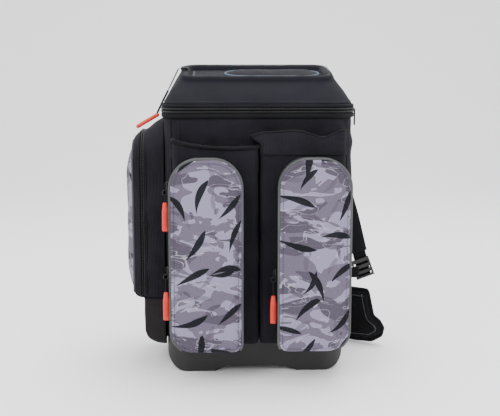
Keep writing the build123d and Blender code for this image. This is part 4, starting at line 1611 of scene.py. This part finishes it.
@dataclass
class HipWing(Assembly):
    """A padded hip wing with a bound edge and a thick rolled tip."""

    side: Side
    thick: float = 12 * MM
    height: float = 96 * MM
    swing: float = math.radians(34)

    def outline(self) -> Outline:
        """The wing's face, measured from the foot of its root."""
        corners = [(0, 2, 6), (77, 0, 30), (110, 2, 16), (129, 14, 10), (133, 30, 8),
                   (125, 42, 6), (112.5, 50, 8), (101.5, 96, 8), (0, 96, 8)]
        return Outline.of([(x * MM, z * MM, radius * MM) for x, z, radius in corners], 220)

    def root(self) -> Matrix:
        """Where the wing's root stands, and how far the wing has swung."""
        box = Box.of(f"hip_wing_{self.side.word}")
        if self.side is Side.LEFT:
            return Matrix.Translation((box.low.x, box.middle.y, box.low.z))
        hinge = (Box.of("strap_yoke").middle.x + 118 * MM, Box.of("back_wall").high.y + 11 * MM)
        return (Matrix.Translation((*hinge, box.low.z)) @ Matrix.Rotation(-self.swing, 4, "Z")
                @ Matrix.Translation((0.5 * MM, 0, 0)))

    def build(self) -> None:
        """Makes the pad, its binding and its sewn lines, and stands them at the root."""
        word = self.side.word
        body = f"{word}_wing"
        outline, half = self.outline(), self.thick / 2
        pad = pillow(f"wing_pad_{word}", outline.inset(0.6 * MM), facing_back(2 * MM - half),
                     self.thick - 4.5 * MM, 0.5 * MM, 3.5 * MM)
        inflate(pad, 2.4 * MM, 4 * MM)
        for vert in pad.data.vertices:
            vert.co.y = min(max(vert.co.y, 0.2 * MM - half), half)
        edge = facing_back(0.0)(outline.inset(2.2 * MM).points, 0.0)
        binding = sweep(f"wing_binding_{word}", edge, circle(2.6 * MM, 10, 1.3), (0, 1, 0),
                        closed=True)
        pieces = [(pad, SPACER), (binding, BINDING)]
        for name, y in (("front", 0.6 * MM - half), ("back", half - 0.6 * MM)):
            line = facing_back(y)(outline.inset(13 * MM).points[20:200], 0.0)
            pieces.append((sweep(f"wing_{name}_line_{word}", line, circle(0.9 * MM, 8),
                                 (0, 1, 0)), GREY_PIPING))
        for piece, finish in pieces:
            piece.data.transform(self.root())
            self.add(piece, finish, body, *([f"hip_wing_{word}"] if piece is pad else []))


@dataclass
class HaulLoop(Assembly):
    """The webbing loop at the top of the back."""

    def build(self) -> None:
        """Makes the hanging loop and its padded grip."""
        box = Box.of("haul_loop")
        left, right = box.low.x + 5 * MM, box.high.x - 5 * MM
        low, y = box.low.z + 5 * MM, box.middle.y
        path = smooth_path([(left, y, box.high.z), (left, y, low + 14 * MM),
                            (left + 5 * MM, y, low + 4 * MM), (left + 14 * MM, y, low),
                            (right - 14 * MM, y, low), (right - 5 * MM, y, low + 4 * MM),
                            (right, y, low + 14 * MM), (right, y, box.high.z)], 90)
        across = in_plane(path, (0, 1, 0))
        self.add(sweep("haul_webbing", path, flat_section(9.6 * MM, 2.6 * MM), across),
                 WEBBING, "loop", "haul_loop")
        grip = path[28:62]
        self.add(sweep("haul_grip", grip, flat_section(10 * MM, 4.6 * MM), across[28:62]),
                 BINDING, "loop")


# ------------------------------------------------------------------ zip pulls

@dataclass
class ZipPull(Assembly):
    """A slider with its wire ring, short cord and moulded tag, hanging straight down."""

    name: str

    def build(self) -> None:
        """Makes the slider and the pull."""
        self.slider(Box.of(f"slider_{self.name}"))
        self.ring_and_cord(Box.of(f"puller_{self.name}"))
        self.tag(Box.of(f"tag_{self.name}"))

    def slider(self, box: Box) -> None:
        """Makes the slider's two rounded plates and the bridge over them."""
        outline = Outline.of([
            (box.low.y, box.low.z, 2 * MM), (box.high.y, box.low.z, 2 * MM),
            (box.high.y - 1 * MM, box.high.z, 1.5 * MM),
            (box.low.y + 1 * MM, box.high.z, 1.5 * MM)],
            48)
        plates = pillow(f"slider_body_{self.name}", outline, facing_left(box.high.x), 3.2 * MM,
                        edge=1 * MM)
        self.add(plates, DARK_METAL, f"{self.name}_slider", f"slider_{self.name}")
        x, y = box.low.x + 1.0 * MM, box.middle.y
        bridge = smooth_path([(box.high.x - 3 * MM, y, box.high.z - 2 * MM),
                              (x, y, box.high.z - 3 * MM), (x, y, box.low.z + 3 * MM),
                              (box.high.x - 3 * MM, y, box.low.z + 2 * MM)], 20)
        self.add(sweep(f"slider_bridge_{self.name}", bridge, flat_section(2.4 * MM, 1.2 * MM),
                       (0, 1, 0)), DARK_METAL, f"{self.name}_slider")

    def ring_and_cord(self, box: Box) -> None:
        """Makes the wire ring, and the cord from it to the tag."""
        radius, wire = 3.8 * MM, 0.9 * MM
        x, y = box.middle.x, box.middle.y
        z = box.high.z - radius - wire
        angle = np.arange(40) / 40 * TURN
        loop = np.stack([x + np.cos(angle) * radius, np.full(40, y), z + np.sin(angle) * radius],
                        axis=1)
        self.add(sweep(f"wire_ring_{self.name}", loop, circle(wire), (0, 1, 0), closed=True),
                 DARK_METAL, f"{self.name}_pull", f"puller_{self.name}")
        foot = box.low.z - 2 * MM
        path = smooth_path([(x, y, z - radius + 1 * MM), (x, y, (z + foot) / 2), (x, y, foot)], 24)
        self.add(sweep(f"pull_cord_{self.name}", path, circle(1.25 * MM), (1, 0, 0),
                       scale=lambda share: 1 + 0.12 * math.sin(share * 40)),
                 CORD_CLOTH, f"{self.name}_pull")

    def tag(self, box: Box) -> None:
        """Makes the soft tag, with raised bars for grip."""
        x, half = box.middle.x, box.size.x / 2
        outline = Outline.of([
            (x - half, box.low.z, 2.4 * MM), (x + half, box.low.z, 2.4 * MM),
            (x + half, box.high.z - 14 * MM, 4 * MM), (x + half * 0.66, box.high.z, 2 * MM),
            (x - half * 0.66, box.high.z, 2 * MM), (x - half, box.high.z - 14 * MM, 4 * MM)], 120)
        made = pillow(f"tag_grip_{self.name}", outline, facing_front(box.high.y),
                      box.size.y + 1.6 * MM, 0.4 * MM, 1.6 * MM)
        self.add(made, TAG_RUBBER, f"{self.name}_pull", f"tag_{self.name}")
        face = box.low.y - 1.9 * MM
        line = np.linspace((x, face, box.low.z + 6 * MM), (x, face, box.high.z - 16 * MM), 12)
        self.add(row_of(f"tag_bars_{self.name}", line, (1.1 * MM, box.size.x * 0.6, 0.9 * MM),
                        3.0 * MM, (1, 0, 0)), TAG_RUBBER, f"{self.name}_pull")


@dataclass
class LidPull(Assembly):
    """The lid pocket's slider and the long pull draped over the lid's left side."""

    tilt: float = math.radians(8)
    rest: float = math.radians(30)

    def build(self) -> None:
        """Makes the slider, plate, ring, cord and tag."""
        Wardrobe.dress(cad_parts["lid_slider"], DARK_METAL)
        Wardrobe.dress(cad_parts["lid_puller"], DARK_METAL)
        box = Box.of("lid_slider")
        y, top = box.middle.y, box.high.z
        bridge = smooth_path([(box.low.x - 1 * MM, y, top - 3 * MM), (box.low.x + 2 * MM, y, top),
                              (box.middle.x, y, top + 0.8 * MM),
                              (box.high.x - 1 * MM, y, top - 2 * MM)], 20)
        self.add(sweep("lid_slider_bridge", bridge, flat_section(3 * MM, 1.2 * MM), (0, 1, 0)),
                 DARK_METAL, "lid_top_slider")
        self.cord_and_tag()

    def cord_and_tag(self) -> None:
        """Makes the free cord below the metal plate, and the tag on its end."""
        cord, tag = Box.of("lid_cord"), Box.of("lid_tag")
        start = Vector((cord.high.x - 1.4 * MM, cord.middle.y, cord.high.z - 0.9 * MM))
        end = Vector((cord.low.x + 1.4 * MM, cord.middle.y, cord.low.z + 0.9 * MM))
        curve = bpy.data.curves.new("lid_pull_cord", "CURVE")
        curve.dimensions = "3D"
        curve.bevel_depth = 1.7 * MM
        curve.bevel_resolution = 3
        curve.use_fill_caps = True
        spline = curve.splines.new("NURBS")
        knots = [start.lerp(end, share) for share in (0.0, 0.25, 0.5, 0.75, 1.0)]
        knots[2] += Vector((-0.6 * MM, 0.4 * MM, 0))
        spline.points.add(len(knots) - 1)
        for point, knot in zip(spline.points, knots):
            point.co = (*knot, 1.0)
        spline.order_u = 3
        spline.use_endpoint_u = True
        piece = bpy.data.objects.new("lid_pull_cord", curve)
        bpy.context.collection.objects.link(piece)
        self.add(piece, CORD_CLOTH, "lid_pull", "lid_cord")
        neck = Vector((tag.high.x, tag.middle.y, tag.high.z - 1.4 * MM))
        down = self.rest

        def along(flat: Array, height: float) -> Array:
            """Places points drawn with X along the tag and Y across it."""
            out = flat[:, 0]
            return np.stack([neck.x - out * math.cos(down) - height * math.sin(down),
                             neck.y + flat[:, 1],
                             neck.z - out * math.sin(down) + height * math.cos(down)], axis=1)

        half = tag.size.y / 2
        outline = Outline.of([
            (-3.6 * MM, -half * 0.5, 1.5 * MM), (11 * MM, -half, 3 * MM),
            (40 * MM, -half, 2.4 * MM),
            (40 * MM, half, 2.4 * MM), (11 * MM, half, 3 * MM), (-3.6 * MM, half * 0.5, 1.5 * MM)],
            120)
        made = pillow("lid_tag_grip", outline, lambda flat, height: along(
            flat, height - 2.6 * MM), 6.2 * MM, 0.4 * MM, 2.4 * MM)
        self.add(made, TAG_RUBBER, "lid_pull", "lid_tag")
        line = along(np.array([[x, 0.0] for x in np.linspace(14 * MM, 36 * MM, 12)]), 3.9 * MM)
        bars = row_of("lid_tag_bars", line, (1.1 * MM, 6 * MM, 0.9 * MM), 3 * MM, (0, 1, 0))
        self.add(bars, TAG_RUBBER, "lid_pull")


@dataclass
class MainPull(Assembly):
    """The main zip's slider on the right, with its plain puller."""

    def build(self) -> None:
        """Makes the slider and puller with soft edges."""
        box = Box.of("main_slider")
        outline = Outline.rectangle((box.low.y, box.low.z), (box.high.y, box.high.z), 2 * MM, 48)
        put = facing_left(box.low.x)
        body = pillow("mouth_slider_body", outline, lambda flat, height: put(flat, -height),
                      box.size.x - 1 * MM, 0.8 * MM, 1.2 * MM)
        self.add(body, DARK_METAL, "mouth_slider", "main_slider")
        box = Box.of("main_puller")
        outline = Outline.rectangle((box.low.y, box.low.z), (box.high.y, box.high.z), 2.6 * MM, 60)
        put_pull = facing_left(box.low.x)
        pull = pillow("mouth_puller", outline, lambda flat, height: put_pull(flat, -height),
                      box.size.x, 0.3 * MM, 0.8 * MM)
        self.add(pull, DARK_METAL, "mouth_pull", "main_puller")


# ------------------------------------------------------------------ studio

@dataclass
class Studio:
    """A pale floor that sweeps up behind, soft lights, and the camera."""

    eye_height: float = 494 * MM
    eye_distance: float = 1600 * MM
    azimuth: float = math.radians(-2.5)
    pitch: float = math.radians(8.56)
    yaw_left: float = 6 / 957
    lens: float = 69.0

    def build(self) -> None:
        """Sets up the studio."""
        self.backdrop()
        self.lights()
        self.camera()

    def backdrop(self) -> None:
        """Makes the floor and wall in one sweep, and a soft white world."""
        profile = [(-6.0, 0.0), (2.2, 0.0)]
        profile += [(2.2 + 1.5 * math.sin(a), 1.5 - 1.5 * math.cos(a))
                    for a in np.linspace(0.1, math.pi / 2, 12)]
        profile += [(3.7, 6.0)]
        rings = [np.array([(-7.0, y, z - 0.4 * MM), (7.0, y, z - 0.4 * MM)]) for y, z in profile]
        floor = skin("studio_floor", rings, closed=False)
        graph = Graph("studio_paper")
        graph.set(Base_Color=(0.93, 0.93, 0.94), Roughness=0.9)
        floor.data.materials.append(graph.material)
        floor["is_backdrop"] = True
        world = bpy.data.worlds.new("studio_world")
        world.use_nodes = True
        world.node_tree.nodes["Background"].inputs["Color"].default_value = (1, 1, 1, 1)
        world.node_tree.nodes["Background"].inputs["Strength"].default_value = 1.5
        bpy.context.scene.world = world

    def lights(self) -> None:
        """Hangs three large soft lights."""
        middle = Vector((*Box.of("front_wall").middle.xy, 240 * MM))
        for name, place, size, power in (("key", (-1.3, -1.9, 1.9), 1.4, 46.0),
                                         ("fill", (1.8, -1.6, 1.1), 1.6, 22.0),
                                         ("top", (0.2, 0.6, 2.2), 1.6, 60.0)):
            light = bpy.data.lights.new(name, "AREA")
            light.size, light.energy = size, power
            lamp = bpy.data.objects.new(name, light)
            lamp.location = middle + Vector(place)
            lamp.rotation_euler = (middle - lamp.location).to_track_quat("-Z", "Y").to_euler()
            bpy.context.collection.objects.link(lamp)

    def camera(self) -> None:
        """Places the camera in front of the pockets, a little to the left."""
        middle = Box.of("side_wall_left", "side_wall_right").middle
        data = bpy.data.cameras.new("camera")
        data.lens = self.lens
        data.clip_end = 50.0
        camera = bpy.data.objects.new("camera", data)
        camera.location = (middle.x + self.eye_distance * math.tan(self.azimuth),
                           middle.y - self.eye_distance, self.eye_height)
        camera.rotation_euler = (math.pi / 2 - self.pitch, 0.0, self.azimuth + self.yaw_left)
        bpy.context.collection.objects.link(camera)
        bpy.context.scene.camera = camera


def write_sizes() -> None:
    """Gathers the CAD box and the visual model's box as plain numbers."""
    boxes = {"cad": CAD_BOX, "visual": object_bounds()}
    plain = {name: [[float(value) for value in corner] for corner in box]
             for name, box in boxes.items()}


def main() -> None:
    """Builds the studio and every sub-assembly in order."""
    logging.basicConfig(level=logging.INFO, format="%(message)s")
    Studio().build()
    assemblies: list[Assembly] = [Tray(), BodyShell(), MouthBands(), Lid()]
    for side in Side:
        assemblies += [RodSleeve(side), FrontPocket(side)]
    assemblies += [SidePocket(), BackPanel()]
    for side in Side:
        assemblies += [ShoulderStrap(side), HipWing(side)]
    assemblies += [HaulLoop(), ZipPull("upper"), ZipPull("lower"), ZipPull("valley"),
                   LidPull(), MainPull()]
    for assembly in assemblies:
        assembly.build()
        log.info("%s is ready", type(assembly).__name__)
    write_sizes()


if __name__ == "__main__":
    main()
